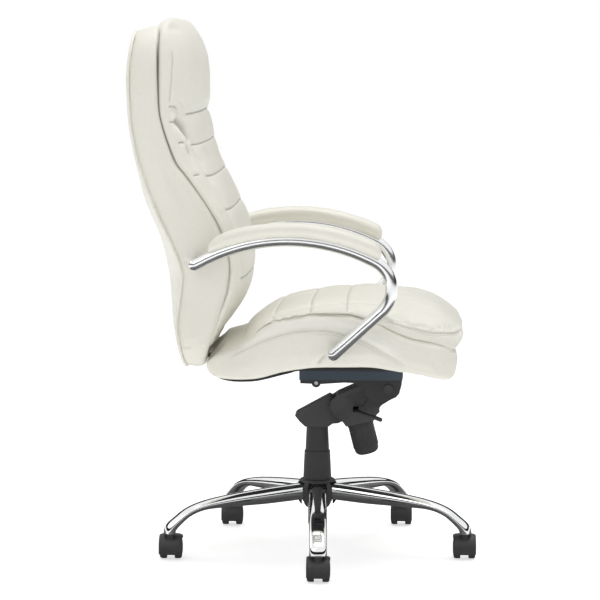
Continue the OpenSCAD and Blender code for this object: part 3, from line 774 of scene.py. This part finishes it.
def pad_rings():
    """The channelled front of the back, with a roll down each side."""
    rings = []
    for z in np.concatenate([[486, 488, 491, 495], np.arange(500, 980, 6.0), [982, 985, 987, 988]]):
        end = math.sqrt(max(1 - max(0, (z - 976) / 12.5) ** 2, 0.0))
        foot = math.sqrt(max(1 - max(0, (520 - z) / 36.0) ** 2, 0.02))
        back = float(seam_x(z)) + 1.5
        depth = (float(front_x(z)) - 3 - back) * (0.88 + 0.12 * end)
        half_w = PAD_HALF_W - 22 * (1 - foot)
        rings.append(pad_ring(z, half_w, back, max(depth, 2.5), PAD_POWER))
    return rings


def headrest_rings():
    """The headrest: a tall soft pad whose top rolls back over the cushion."""
    rings = []
    levels = np.concatenate([[982, 984, 987, 991, 996], np.arange(1002, 1140, 6.0),
                             np.arange(1142, 1176, 4.0), [1177, 1179, 1181, 1182.5, 1183.5]])
    for z in levels:
        low_end = math.sqrt(max(1 - max(0, (992 - z) / 10.5) ** 2, 0.0))
        top = max(0, (z - 1096) / 88.0)
        half_w = PAD_HALF_W - 84 * (1 - math.sqrt(max(1 - top ** 2, 0.0)))
        rear = float(seam_x(z)) + 1.5 + 26 * (max(z - 1152, 0) / 33.0) ** 2.6
        depth = float(head_x(z)) - 4 - rear
        rings.append(pad_ring(z, half_w, rear, max(depth * (0.93 + 0.07 * low_end), 4), 2.0))
    return rings


def build_front():
    """The front of the back in one cover: the channelled pad and the headrest above it."""
    lower, upper = loft("back_front_pad", pad_rings()), loft("headrest_shell", headrest_rings())
    points = np.concatenate([coords(lower), coords(upper)])
    first = len(lower.data.vertices)
    faces = [tuple(p.vertices) for p in lower.data.polygons]
    faces += [tuple(first + v for v in p.vertices) for p in upper.data.polygons]
    bpy.data.objects.remove(lower)
    bpy.data.objects.remove(upper)
    obj = new_object("back_front_cover", points, faces)
    remesh(obj, 0.0045, 5)
    return obj


body = build_back_body()
panel = build_back_panel()
pad = build_front()


def seam_pins(obj, width):
    """1 near the side seam of the back, 0 away from it."""
    co = coords(obj) / MM
    return np.exp(-((co[:, 0] - seam_x(co[:, 2])) / width) ** 2)


# The sewn grooves across the front: height at the middle, drop towards the sides and depth
GROOVES = [(988, 10, 2.2), (926, 13, 1.6), (860, 13, 1.6), (788, 13, 1.4), (706, 10, 1.2),
           (635, 7, 0.9)]
GROOVE_HALF_W = 190


def channel(obj, level, drop, depth):
    """Presses a sewn groove into the front pad at a level, lower towards the sides, and paints shade
    along its line.
    """
    co, n = coords(obj), normals(obj)
    y, z = np.abs(co[:, 1]) / MM, co[:, 2] / MM
    line = level - drop * (y / GROOVE_HALF_W) ** 1.15
    facing = smooth_step(n[:, 0], 0.05, 0.4)
    across = 1 - smooth_step(y, GROOVE_HALF_W - 8, GROOVE_HALF_W + 8)
    away = np.abs(z - line)
    sink = -depth * np.exp(-(away / 8.0) ** 1.3) - 2.0 * np.exp(-(away / 2.4) ** 2)
    swell = 0.5 * np.exp(-((away - 26) / 16.0) ** 2)
    set_coords(obj, co + n * ((sink + swell) * facing * across * MM)[:, None])
    keep_shade(obj, np.maximum(shade_of(obj), 0.8 * np.exp(-(away / 1.5) ** 2) * facing * across))


def shade_seam(obj, strength, width):
    """Paints shade along the deep seam between the side of the back and its front."""
    co = coords(obj) / MM
    z = co[:, 2]
    deep = strength * smooth_step(z, 548, 600) * (1 - smooth_step(z, 1145, 1165))
    deep *= 1 - 0.55 * (1 - smooth_step(z, 850, 930))
    line = deep * np.exp(-((co[:, 0] - seam_x(z)) / width) ** 2) * (np.abs(co[:, 1]) > 205)
    keep_shade(obj, np.maximum(shade_of(obj), line))


puff(pad, 3.0, 0.004, seam_pins(pad, 9))
subdivide(pad)
subdivide(body)
subdivide(panel)


def fold_line(y, z_values):
    """Points down the front of the pad at one distance from the middle."""
    out = []
    share = min(abs(y) / PAD_HALF_W, 1.0)
    for z in z_values:
        back, front = float(seam_x(z)), float(front_x(z))
        ahead = (1 - share ** PAD_POWER) ** (1 / PAD_POWER)
        out.append((back + (front - back) * ahead, y, z))
    return out


# the long hollow between each side roll and the channelled middle
press(pad, [
    fold(fold_line(-190, (960, 930, 880, 820, 760, 700, 640, 580, 540)), 11, -4.0, 0.08),
    fold(fold_line(-222, (960, 900, 830, 760, 700, 640, 580)), 13, 2.0, 0.1)])
for groove in GROOVES:
    channel(pad, *groove)
# folds of the side rolls: the small one under the headrest's seam, the deep leaf-shaped
# hollow below it with its raised lower lip, and short tucks beside the channels
# painted shade lines along the small folds and tucks, painted shade in the hollows and painted
# highlights on the raised lips
press(pad, [
    fold([(-308, -238, 994), (-290, -236, 995), (-275, -228, 988)], 3.5, -4, 0.2, dark=0.7),
    fold([(-304, -238, 988), (-286, -234, 985), (-270, -222, 978)], 5, -1, 0.3, painted_shading=0.2),
    fold([(-306, -238, 977), (-290, -236, 976), (-276, -228, 972)], 8, 1.6, 0.3, painted_shading=-0.15),
    fold([(-296, -234, 969), (-281, -228, 965), (-269, -217, 953), (-262, -208, 936),
          (-260, -204, 918)], 8.5, -9, 0.22, painted_shading=0.7),
    fold([(-308, -238, 962), (-298, -236, 963), (-284, -231, 964)], 3, -3.0, 0.3, dark=0.75),
    fold([(-304, -238, 952), (-290, -235, 949), (-278, -229, 940), (-270, -221, 926),
          (-266, -216, 908)], 6, 4.5, 0.25, painted_shading=-0.5),
    fold([(-290, -231, 917), (-277, -230, 921), (-264, -228, 922)], 3, -3.4, 0.2, dark=0.85),
    fold([(-287, -231, 911), (-276, -230, 913), (-264, -228, 915)], 4, 2.0, 0.3, painted_shading=-0.45),
    fold([(-272, -222, 930), (-266, -220, 912), (-258, -214, 894)], 5, -2.4, 0.3, painted_shading=0.35),
    fold([(-270, -222, 905), (-263, -218, 898), (-256, -212, 890)], 4, -2.6, 0.3, dark=0.3),
    fold([(-260, -228, 845), (-248, -227, 850), (-237, -224, 855)], 3, -3.0, 0.2, dark=0.8),
    fold([(-262, -230, 870), (-248, -222, 842), (-230, -214, 815)], 9, 2.0, 0.35),
    fold([(-225, -226, 800), (-212, -220, 776), (-198, -214, 750)], 8, 2.2, 0.35),
    fold([(-190, -214, 740), (-176, -208, 705), (-168, -204, 680)], 8, -2.4, 0.35),
    fold([(-152, -190, 660), (-152, -190, 620), (-160, -192, 590)], 8, 1.8, 0.35)])
# faint slanting creases inside the channels, each with a faint painted shade
slants = []
reach = 24
for z, y, lean in ((955, -120, 30), (900, -60, -26), (893, -150, 24), (828, -100, 30), (820, 60, 24),
                   (950, 70, 26), (750, -60, -30)):
    line = [fold_line(y, (z + reach,))[0], fold_line(y + lean / 2, (z,))[0],
            fold_line(y + lean, (z - reach,))[0]]
    slants.append(fold(line, 7, -1.2, 0.4, both_sides=False, painted_shading=0.04))
press(pad, slants)
wrinkle(pad, np.exp(-((np.abs(coords(pad)[:, 1]) / MM - 196) / 26) ** 2)
        * (1 - smooth_step(coords(pad)[:, 2] / MM, 970, 1000)), 34, 0.9, 3, (1, 1, 1.5))

# the headrest's side seam, with a painted shade line along it, and the soft hollow of its lower
# corner
press(pad, [
    fold([(-293, -236, 1117), (-295, -237, 1071), (-300, -238, 1030), (-303, -239, 1000)], 2.6,
         -1.3, 0.12, dark=0.45),
    fold([(-284, -214, 1012), (-274, -204, 1001), (-262, -192, 997)], 8, -2.6, 0.4),
    fold([(-268, -205, 1100), (-262, -205, 1050), (-262, -205, 1015)], 16, -1.6, 0.3)])
wrinkle(pad, smooth_step(coords(pad)[:, 2] / MM, 975, 1000) * 0.6, 64, 1.0, 5, (1, 1, 0.6))
shade_seam(pad, 1.0, 1.9)
shade_seam(body, 1.0, 1.9)

# soft long ridges and hollows down the gusset
press(body, [
    fold([(-352, SIDE_Y, 1000), (-345, SIDE_Y, 930), (-325, SIDE_Y, 860), (-292, SIDE_Y, 790),
          (-262, SIDE_Y, 740)], 12, 2.2, 0.3),
    fold([(-338, SIDE_Y, 1120), (-340, SIDE_Y, 1040), (-336, SIDE_Y, 960)], 7, 1.4, 0.3),
    fold([(-330, SIDE_Y, 905), (-306, SIDE_Y, 850), (-276, SIDE_Y, 800), (-250, SIDE_Y, 768)], 8,
         -2.2, 0.3),
    fold([(-292, SIDE_Y, 852), (-278, SIDE_Y, 838), (-262, SIDE_Y, 812)], 6, 2.0, 0.35),
    fold([(-384, SIDE_Y, 1020), (-366, SIDE_Y, 1026), (-352, SIDE_Y, 1028)], 3.2, -0.9, 0.3),
    fold([(-281, -253, 672), (-262, -255, 662), (-246, -256, 655)], 6, -2.6, 0.35),
    fold([(-279, -253, 684), (-256, -255, 674), (-238, -256, 668)], 6, 2.0, 0.35),
    fold([(-286, -252, 484), (-272, -254, 486), (-256, -254, 487)], 3.5, -2.2, 0.35),
    fold([(-284, -251, 476), (-270, -253, 478), (-258, -254, 478)], 3.5, 1.6, 0.35),
    fold([(-284, -252, 500), (-262, -254, 496), (-240, -254, 502), (-222, -252, 512)], 5, -1.2,
         0.3)])
wrinkle(body, np.full(len(body.data.vertices), 1.0), 95, 1.3, 7, (1, 1, 0.55))
wrinkle(panel, np.full(len(panel.data.vertices), 1.0), 120, 1.4, 9, (1, 1, 0.6))

soft_piece(pad, "foam", 0.75, "back_pad", "headrest")
soft_piece(body, "foam", 0.75, "back_cushion")
soft_piece(panel, "leather", 0.6, "back_panel")

# piping round the rear panel
outline, _ = rounded_outline(*PIPING_OUTLINE, OUTLINE_STEP)
pipe_path = np.column_stack([piping_x(outline[:, 1]) - 0.5, outline])
piping = closed_cord("back_piping", pipe_path, 3.1)
add_piece(piping, PIPE_LEATHER, "seat", "leather")


# ---------- seat ----------

# Plans of the cushions: rear, front, half the width, rear and front corners' radii
BASE_PLAN = (-233, 307, 258, 50, 50)
PILLOW_PLAN = (-158, 320.5, 247, 62, 58)
PILLOW_SIDE, PILLOW_TOP = 2 / 2.9, 2 / 2.1


def seat_section(x, low, high, half_w, lip, count=72):
    """One upright section of the seat's base: full sides and a softly crowned top."""
    ring = []
    middle, half_h = (low + high) / 2, max((high - low) / 2, 0.6)
    for i in range(count):
        a = 2 * math.pi * i / count
        c, s = math.cos(a), math.sin(a)
        # the leather turns under the board with a tight edge
        exponent = 2 / 9 if s < 0 else 2 / 7.5
        y, rise = half_w * signed_power(c, exponent), signed_power(s, exponent)
        z = middle + half_h * rise
        if s < 0:
            z += lip * float(smooth_step(abs(y), half_w - 32, half_w - 12)) * rise
        else:
            z -= rear_drop(x, y) * s
        ring.append((x, y, z))
    return ring


def plan_half_width(x, rear, front, half_w, r_rear, r_front):
    """Half the width of a plan with round corners."""
    if x < rear + r_rear:
        return half_w - r_rear + math.sqrt(max(r_rear ** 2 - (rear + r_rear - x) ** 2, 0))
    if x > front - r_front:
        return half_w - r_front + math.sqrt(max(r_front ** 2 - (x - front + r_front) ** 2, 0))
    return half_w


def stations(first, last, step=7.0):
    """Places along a cushion, closer together at its ends."""
    near = np.array([0, 0.6, 1.6, 3.2, 5.5])
    return np.concatenate([first + near, np.arange(first + 10, last - 10, step), last - near[::-1]])


def rear_drop(x, y):
    """How far the rear corners of the seat's cushions sag."""
    return 24 * float(smooth_step(-x, 105, 160)) * (y / 258) ** 2


def build_seat_base():
    rings = []
    for x in stations(-232, 305):
        half_w = plan_half_width(x, *BASE_PLAN)
        lip = 3 + 4 * float(smooth_step(x, -80, -20) * (1 - smooth_step(x, 170, 230)))
        rings.append(seat_section(x, float(base_low(x)), float(base_high(x)) + 1, half_w, lip))
    obj = loft("seat_base", rings)
    remesh(obj, 0.005, 6)
    return obj


def build_seat_pillow():
    rings = []
    for x in stations(-157, 319):
        half_w = plan_half_width(x, *PILLOW_PLAN)
        bottom, top = float(pillow_low(x)) - 2, float(pillow_high(x)) - 1
        ring = []
        for i in range(97):
            a = math.pi * i / 96
            c, s = math.cos(a), math.sin(a)
            y = half_w * signed_power(c, PILLOW_SIDE)
            ring.append((x, y, bottom + (top - bottom) * abs(s) ** PILLOW_TOP - rear_drop(x, y)))
        for t in np.linspace(-0.97, 0.97, 36):
            ring.append((x, half_w * t, bottom - 3 * (1 - t * t) - rear_drop(x, half_w * t)))
        rings.append(ring)
    obj = loft("seat_pillow_leather", rings)
    remesh(obj, 0.005, 6)
    return obj


def edge_pins(obj):
    """1 near the lower edge of the pillow, 0 away from it."""
    co = coords(obj) / MM
    return np.exp(-((co[:, 2] - pillow_low(co[:, 0])) / 7) ** 2)


def low_pins(obj):
    """1 along the lower edge of the seat's base, which is stapled to its board."""
    co = coords(obj) / MM
    return 1 - smooth_step(co[:, 2] - base_low(co[:, 0]), 8, 24)


base = build_seat_base()
pillow = build_seat_pillow()
puff(base, 2.5, 0.004, low_pins(base))
puff(pillow, 3.0, 0.004, edge_pins(pillow))
subdivide(base)
subdivide(pillow)


def on_pillow(x, y):
    """A point on top of the pillow."""
    bottom, top = float(pillow_low(x)) - 2, float(pillow_high(x)) - 1
    half_w = plan_half_width(x, *PILLOW_PLAN)
    c = min(abs(y) / half_w, 0.999) ** (1 / PILLOW_SIDE)
    s = math.sqrt(1 - c * c)
    return (x, y, bottom + (top - bottom) * s ** PILLOW_TOP + 2 - rear_drop(x, y))


# quilting across the pillow, and the border seam along each side, with painted shade lines along them
quilting = []
for x in (-84, -4, 73):
    line = [on_pillow(x + 4 * math.sin(y / 120), y) for y in np.linspace(-244, 244, 41)]
    quilting.append(fold(line, 4, -2.6, 0.01, both_sides=False, dark=0.5))
for x in (-117, -44, 34, 112):
    line = [on_pillow(x, y) for y in np.linspace(-180, 180, 15)]
    quilting.append(fold(line, 24, 1.4, 0.15, both_sides=False))
quilting.append(fold([on_pillow(x, -190) for x in np.linspace(-128, 168, 16)], 6, -2.8, 0.06,
                     dark=0.3))
quilting.append(fold([on_pillow(x, -218) for x in np.linspace(-110, 150, 14)], 11, 1.6, 0.1))
press(pillow, quilting)

# the front roll: its double seam with gathers above, and the tuck behind it; painted shade lines
# along the seam and painted shade in the tuck
roll_seam = [(128, -243, 551), (167, -247, 544), (199, -247, 535), (232, -245, 524),
             (264, -236, 516), (289, -218, 513), (305, -196, 514), (314, -160, 515),
             (318, -100, 515), (319, -40, 515), (319, 0, 515)]
rng = np.random.default_rng(21)
smooth_roll = smooth_line(roll_seam, 8)
roll = [fold(roll_seam, 3.4, -2.4, 0.03, dark=0.45),
        fold([(x, y * 1.003, z - 6) for x, y, z in roll_seam], 2.6, -1.4, 0.03, dark=0.4),
        fold([(139, -236, 566), (150, -240, 556), (164, -244, 548), (176, -246, 541)], 5, -4.5,
             0.3, painted_shading=0.5),
        fold([(196, -244, 548), (178, -238, 562), (168, -232, 574)], 9, -2.2, 0.35)]
for k in range(46):
    at = smooth_roll[min(int((0.06 + 0.92 * k / 46) * len(smooth_roll)), len(smooth_roll) - 2)]
    reach, lean = rng.uniform(12, 30), rng.uniform(-5, 3)
    end = (at[0] - 0.25 * reach + lean, at[1] * 0.985, at[2] + reach)
    middle = ((at[0] + end[0]) / 2 + 1.5, (at[1] + end[1]) / 2, (at[2] + end[2]) / 2)
    roll.append(fold([tuple(at + (0, 0, 3)), middle, end], rng.uniform(2.6, 4.2),
                     rng.uniform(-2.0, -0.9), 0.45))
press(pillow, roll)
wrinkle(pillow, smooth_step(coords(pillow)[:, 0] / MM, 60, 180) * 0.9 + 0.35, 70, 1.3, 11)

# the base: double side seam, the fold at the arm's foot and small tucks at its ends; painted shade
# lines along the seam, a painted highlight on the swell above it, and painted shade in the fold with
# a painted highlight on its lip
side_seam = [(-178, -256, 462), (-156, -259, 479), (-107, -261, 502), (-59, -261, 517),
             (-10, -261, 524), (38, -261, 521), (64, -261, 514), (109, -261, 498),
             (135, -261, 483), (167, -261, 464), (193, -260, 448)]
press(base, [
    fold(side_seam, 3.2, -1.5, 0.06, dark=0.4),
    fold([(x, y, z - 6) for x, y, z in side_seam[4:]], 2.4, -0.8, 0.1, dark=0.22),
    fold([(x, y, z + 17) for x, y, z in side_seam], 10, 2.6, 0.12, painted_shading=-0.35),
    fold([(30, -258, 476), (16, -260, 462), (6, -260, 446)], 4, -4.0, 0.3, painted_shading=0.4),
    fold([(22, -258, 480), (2, -260, 462), (-8, -260, 448)], 7, 1.8, 0.3, painted_shading=-0.12),
    fold([(-40, -256, 470), (6, -258, 486), (34, -258, 488)], 16, -2.0, 0.3),
    fold([(262, -250, 478), (280, -236, 474), (294, -212, 476)], 3.4, -1.8, 0.3),
    fold([(268, -248, 466), (286, -230, 464), (297, -206, 466)], 3.6, -1.3, 0.3),
    fold([(-168, -236, 506), (-160, -240, 500), (-150, -244, 494)], 4, -2.6, 0.3),
    fold([(-176, -220, 508), (-166, -232, 500), (-158, -246, 488)], 7, 2.0, 0.3)])
wrinkle(base, np.full(len(base.data.vertices), 1.0), 90, 1.1, 13, (0.8, 1, 1.2))

soft_piece(base, "foam", 0.8, "seat_cushion")
soft_piece(pillow, "foam", 0.75, "seat_pillow")

for part, piece, line in (("seat", base, side_seam), ("pillow", pillow, roll_seam)):
    surface = outer_surface(piece)
    for name, side in (("right", 1), ("left", -1)):
        path = smooth_line([(x, y * side, z + 3) for x, y, z in line], 10)
        row = stitches(f"{part}_stitches_{name}", path, surface)
        add_piece(row, THREAD, "seat", "leather")


def build_dust_cover():
    """The lining cloth stretched under the seat board and up over the board's edge."""
    outline, out = rounded_outline(238.5, -208.5, 265.5, 46, 46, 8)
    middle = np.array([(0.0, np.clip(x, 20, 40)) for _, x in outline])
    rings = []
    for share in (0.03, 0.25, 0.5, 0.75, 0.92, 0.985, 1.0):
        rings.append((middle + (outline - middle) * share, 0.0))
    rings += [(outline + out * 0.6, 2.0), (outline + out * 0.8, 8.0)]
    points = []
    for at, rise in rings:
        for y, x in at:
            level = 435.3
            if x < -30:
                hang = base_low(max(x, -205)) - 3.5 - 1.5 * math.cos(y / 240 * math.pi / 2)
                level = level + (min(level, hang) - level) * smooth_step(-x, 30, 52)
            points.append((x * MM, y * MM, (level + rise) * MM))
    n = len(outline)
    faces = [(k * n + i, k * n + (i + 1) % n, (k + 1) * n + (i + 1) % n, (k + 1) * n + i)
             for k in range(len(rings) - 1) for i in range(n)]
    faces.append(tuple(range(n)))
    return new_object("dust_cover_cloth", points, faces)


cover = build_dust_cover()
add_piece(cover, CLOTH, "seat", "black_fabric", "dust_cover")


# ---------- arms ----------

# An arm's tube: the centre of its crown in X and Z, where the crown and the front bend end in
# degrees from upright, and the straight lengths after the bend and behind the crown
ARM_Y = 287
TUBE_R = 12.9
CROWN = np.array([-55.0, 317.0])
CROWN_R, CROWN_REAR, CROWN_FRONT = 400.0, 27.0, 27.3
BEND_R, BEND_END, TAIL, REAR_STUB = 65.0, 138.0, 134.0, 14.0
PAD_REAR, PAD_FRONT = -23.6, 28.2


def upright(a):
    a = math.radians(a)
    return np.array([math.sin(a), math.cos(a)])


def heading(a):
    a = math.radians(a)
    return np.array([math.cos(a), -math.sin(a)])


BEND = CROWN + (CROWN_R - BEND_R) * upright(CROWN_FRONT)


def sag(a):
    """How much lower the rear of the arm lies than a true arc."""
    return 2.5 * (min(a, 0) / CROWN_REAR) ** 2


def rounded_end(at, a, way):
    """The stations of a tube's round end, from its full width to its tip."""
    stops = []
    for b in np.radians((0, 15, 30, 45, 60, 74, 86)):
        stops.append((at + way * TUBE_R * math.sin(b) * heading(a), a, TUBE_R * math.cos(b)))
    return stops


def build_arm(name, side):
    """A bent chrome tube with rounded ends."""
    rear = CROWN + CROWN_R * upright(-CROWN_REAR) - REAR_STUB * heading(-CROWN_REAR)
    stops = rounded_end(rear, -CROWN_REAR, -1)[::-1]
    for a in np.linspace(-CROWN_REAR, CROWN_FRONT, 60):
        stops.append((CROWN + CROWN_R * upright(a), a, TUBE_R))
    for a in np.linspace(CROWN_FRONT, BEND_END, 46)[1:]:
        stops.append((BEND + BEND_R * upright(a), a, TUBE_R))
    tail = stops[-1][0]
    for t in (0.25, 0.5, 0.75):
        stops.append((tail + t * TAIL * heading(BEND_END), BEND_END, TUBE_R))
    stops += rounded_end(tail + TAIL * heading(BEND_END), BEND_END, 1)
    rings = []
    for at, a, radius in stops:
        up = upright(a)
        ring = []
        for t in np.arange(40) * 2 * math.pi / 40:
            p = at + radius * math.cos(t) * up
            ring.append((p[0], side * (ARM_Y + radius * math.sin(t)), p[1] - sag(a)))
        rings.append(ring if side > 0 else ring[::-1])
    return loft(name, rings)


def build_arm_pad(name, side):
    """A padded leather rest along the crown of the tube, with rounded ends."""
    rings = []
    for a in np.concatenate([PAD_REAR + np.array([0, 0.25, 0.7, 1.4, 2.3]),
                             np.linspace(-20.7, 24.5, 50),
                             PAD_FRONT - np.array([2.6, 1.6, 0.8, 0.3, 0])]):
        end = min((a - PAD_REAR) / 7.2, (PAD_FRONT - a) / 3.6, 1.0)
        round_off = math.sqrt(max(1 - (1 - max(end, 0)) ** 2, 0.0))
        half_w = 29.0 * (0.45 + 0.55 * round_off)
        height = 30.0 * (0.12 + 0.88 * round_off)
        up = upright(a)
        ring = []
        for t in np.arange(48) * 2 * math.pi / 48:
            c, s = math.cos(t), math.sin(t)
            across = half_w * signed_power(c, 2 / 2.6)
            rise = signed_power(s, 2 / 2.1)
            out = CROWN_R + 7.5 + height * (0.5 + 0.5 * rise)
            if rise < 0:
                across *= 1 - 0.34 * abs(rise) ** 1.5
                out -= 6 * abs(rise) * max(-across / half_w, 0) ** 0.5
            p = CROWN + out * up
            ring.append((p[0], side * (ARM_Y + across), p[1] - sag(a)))
        rings.append(ring if side > 0 else ring[::-1])
    obj = loft(name, rings)
    remesh(obj, 0.003, 4)
    puff(obj, 2.0, 0.002)
    subdivide(obj)
    wrinkle(obj, np.full(len(obj.data.vertices), 1.0), 55, 0.5, 17 + side)
    return obj


for side, name in ((1, "left"), (-1, "right")):
    arm = build_arm(f"arm_tube_{name}", side)
    add_piece(arm, ARM_CHROME, "seat", "chrome", f"arm_{name}")
    rest = build_arm_pad(f"arm_rest_{name}", side)
    soft_piece(rest, "leather", 0.85, f"arm_{name}_pad")


# ---------- base ----------

# A leg's middle line: radius, height, half the height and half the width of its section
LEG_COUNT = 5
FIRST_LEG = -88
LEG_STATIONS = [(31, 136, 18.5, 20.5), (115, 129.5, 17.5, 20.5), (204, 123, 13.5, 20),
                (262, 116, 9.5, 19.5), (299, 103, 9, 19), (326, 83, 10, 18.5),
                (339, 70, 11.5, 18.5), (342, 58, 12, 18.5)]


def build_legs():
    """Five pressed legs that taper out and bend down to their castors."""
    line = smooth_line(LEG_STATIONS, 12)
    pieces = []
    for k in range(LEG_COUNT):
        turn = math.radians(FIRST_LEG + 360 // LEG_COUNT * k)
        rings = []
        for i, s in enumerate(line):
            d = line[min(i + 1, len(line) - 1)] - line[max(i - 1, 0)]
            slope = math.atan2(d[1], d[0]) if i else math.radians(-4)
            if i == len(line) - 1:
                slope = -math.pi / 2
            ring = []
            for t in np.arange(56) * 2 * math.pi / 56:
                across, rise = math.cos(t), math.sin(t)
                # a round back above and a flatter, narrower underside
                u = s[3] * signed_power(across, 0.72)
                v = s[2] * signed_power(rise, 0.85 if rise > 0 else 0.62)
                if rise < 0:
                    u *= 1 - 0.16 * abs(rise)
                r, z = s[0] - v * math.sin(slope), s[1] + v * math.cos(slope)
                ring.append((r * math.cos(turn) - u * math.sin(turn),
                             r * math.sin(turn) + u * math.cos(turn), z))
            rings.append(ring)
        pieces.append(loft(f"leg_{k + 1}", rings))
    return pieces


for leg in build_legs():
    add_piece(leg, LEG_CHROME, "base", "chrome", "base_legs")


# ---------- studio ----------

def plain_material(name, grey):
    """A matt card of one grey, hardly uneven."""
    m = Nodes(name)
    m.colour(m.mix(m.noise(3, 2), (grey,) * 3, (0.985 * grey,) * 3))
    m.set(Roughness=0.9, Specular_IOR_Level=0.1)
    return m


def only_reflected(obj, grey):
    """Makes a card that only the reflections see."""
    dress(obj, plain_material(f"{obj.name}_grey", grey).material)
    obj.visible_camera = obj.visible_diffuse = False
    obj.visible_shadow = obj.visible_transmission = False


def circle(radius, z, count=48):
    return [(radius * math.cos(a), radius * math.sin(a), z)
            for a in np.arange(count) * 2 * math.pi / count]


def build_floor(half=30):
    corners = [(-half, -half, 0), (half, -half, 0), (half, half, 0), (-half, half, 0)]
    floor = new_object("floor", corners, [(0, 1, 2, 3)], smooth=False)
    m = plain_material("pale_floor", 0.80)
    m.set(Emission_Color=(1, 1, 1, 1), Emission_Strength=0.62)
    dress(floor, m.material)


def build_flag_ring():
    """A band of dark card round the studio."""
    low, high = circle(9.0, 0.9), circle(9.0, 3.6)
    n = len(low)
    faces = [(i, (i + 1) % n, n + (i + 1) % n, n + i) for i in range(n)]
    only_reflected(new_object("flag_ring", low + high, faces), 0.012)


def build_floor_card():
    """A grey disc on the floor under the chair."""
    disc = circle(1.6, 0.0006)
    only_reflected(new_object("floor_card", disc, [tuple(range(len(disc)))], smooth=False), 0.16)


build_floor()
build_flag_ring()
build_floor_card()


def area_light(name, at, towards, size, power):
    data = bpy.data.lights.new(name, "AREA")
    data.shape = "RECTANGLE"
    data.size, data.size_y = size
    data.energy = power
    light = bpy.data.objects.new(name, data)
    light.location = at
    light.rotation_euler = (Vector(towards) - Vector(at)).to_track_quat("-Z", "Y").to_euler()
    scene.collection.objects.link(light)


def build_dome():
    """A white dome behind everything, which shows in reflections but lights no matt surface."""
    points, faces, rows, n, radius = [], [], 12, 48, 40
    for i in range(rows + 1):
        up = math.radians(-4 + 94 * i / rows)
        points += circle(radius * math.cos(up), radius * math.sin(up), n)
    for i in range(rows):
        for j in range(n):
            k = (j + 1) % n
            faces.append((i * n + j, i * n + k, (i + 1) * n + k, (i + 1) * n + j))
    dome = new_object("white_dome", points, faces)
    m = Nodes("white_backdrop")
    m.set(Base_Color=(0, 0, 0, 1), Emission_Color=(1, 1, 1, 1), Emission_Strength=1.0,
          Specular_IOR_Level=0.0)
    dress(dome, m.material)
    dome.visible_diffuse = dome.visible_shadow = dome.visible_transmission = False


build_dome()
world = bpy.data.worlds.new("studio")
scene.world = world
world.use_nodes = True
sky = world.node_tree.nodes["Background"]
sky.inputs["Color"].default_value = (1, 1, 1, 1)
sky.inputs["Strength"].default_value = 0.46
area_light("key", (-1.8, -3.6, 3.4), (0, 0, 0.75), (2.2, 1.8), 19)
area_light("overhead", (0.4, 0.2, 4.2), (0, 0, 0.5), (3.0, 3.0), 84)
area_light("rear_fill", (-3.4, 1.0, 2.4), (0, 0, 0.8), (2.0, 2.0), 12)
scene.view_settings.view_transform = "Standard"

camera = bpy.data.objects.new("camera", bpy.data.cameras.new("camera"))
camera.data.sensor_width = 36
camera.data.lens = 138.1
camera.location = (0.153, -5.085, 1.077)
camera.rotation_euler = (math.radians(90 - 5.77), 0, math.radians(2.16))
scene.collection.objects.link(camera)
scene.camera = camera
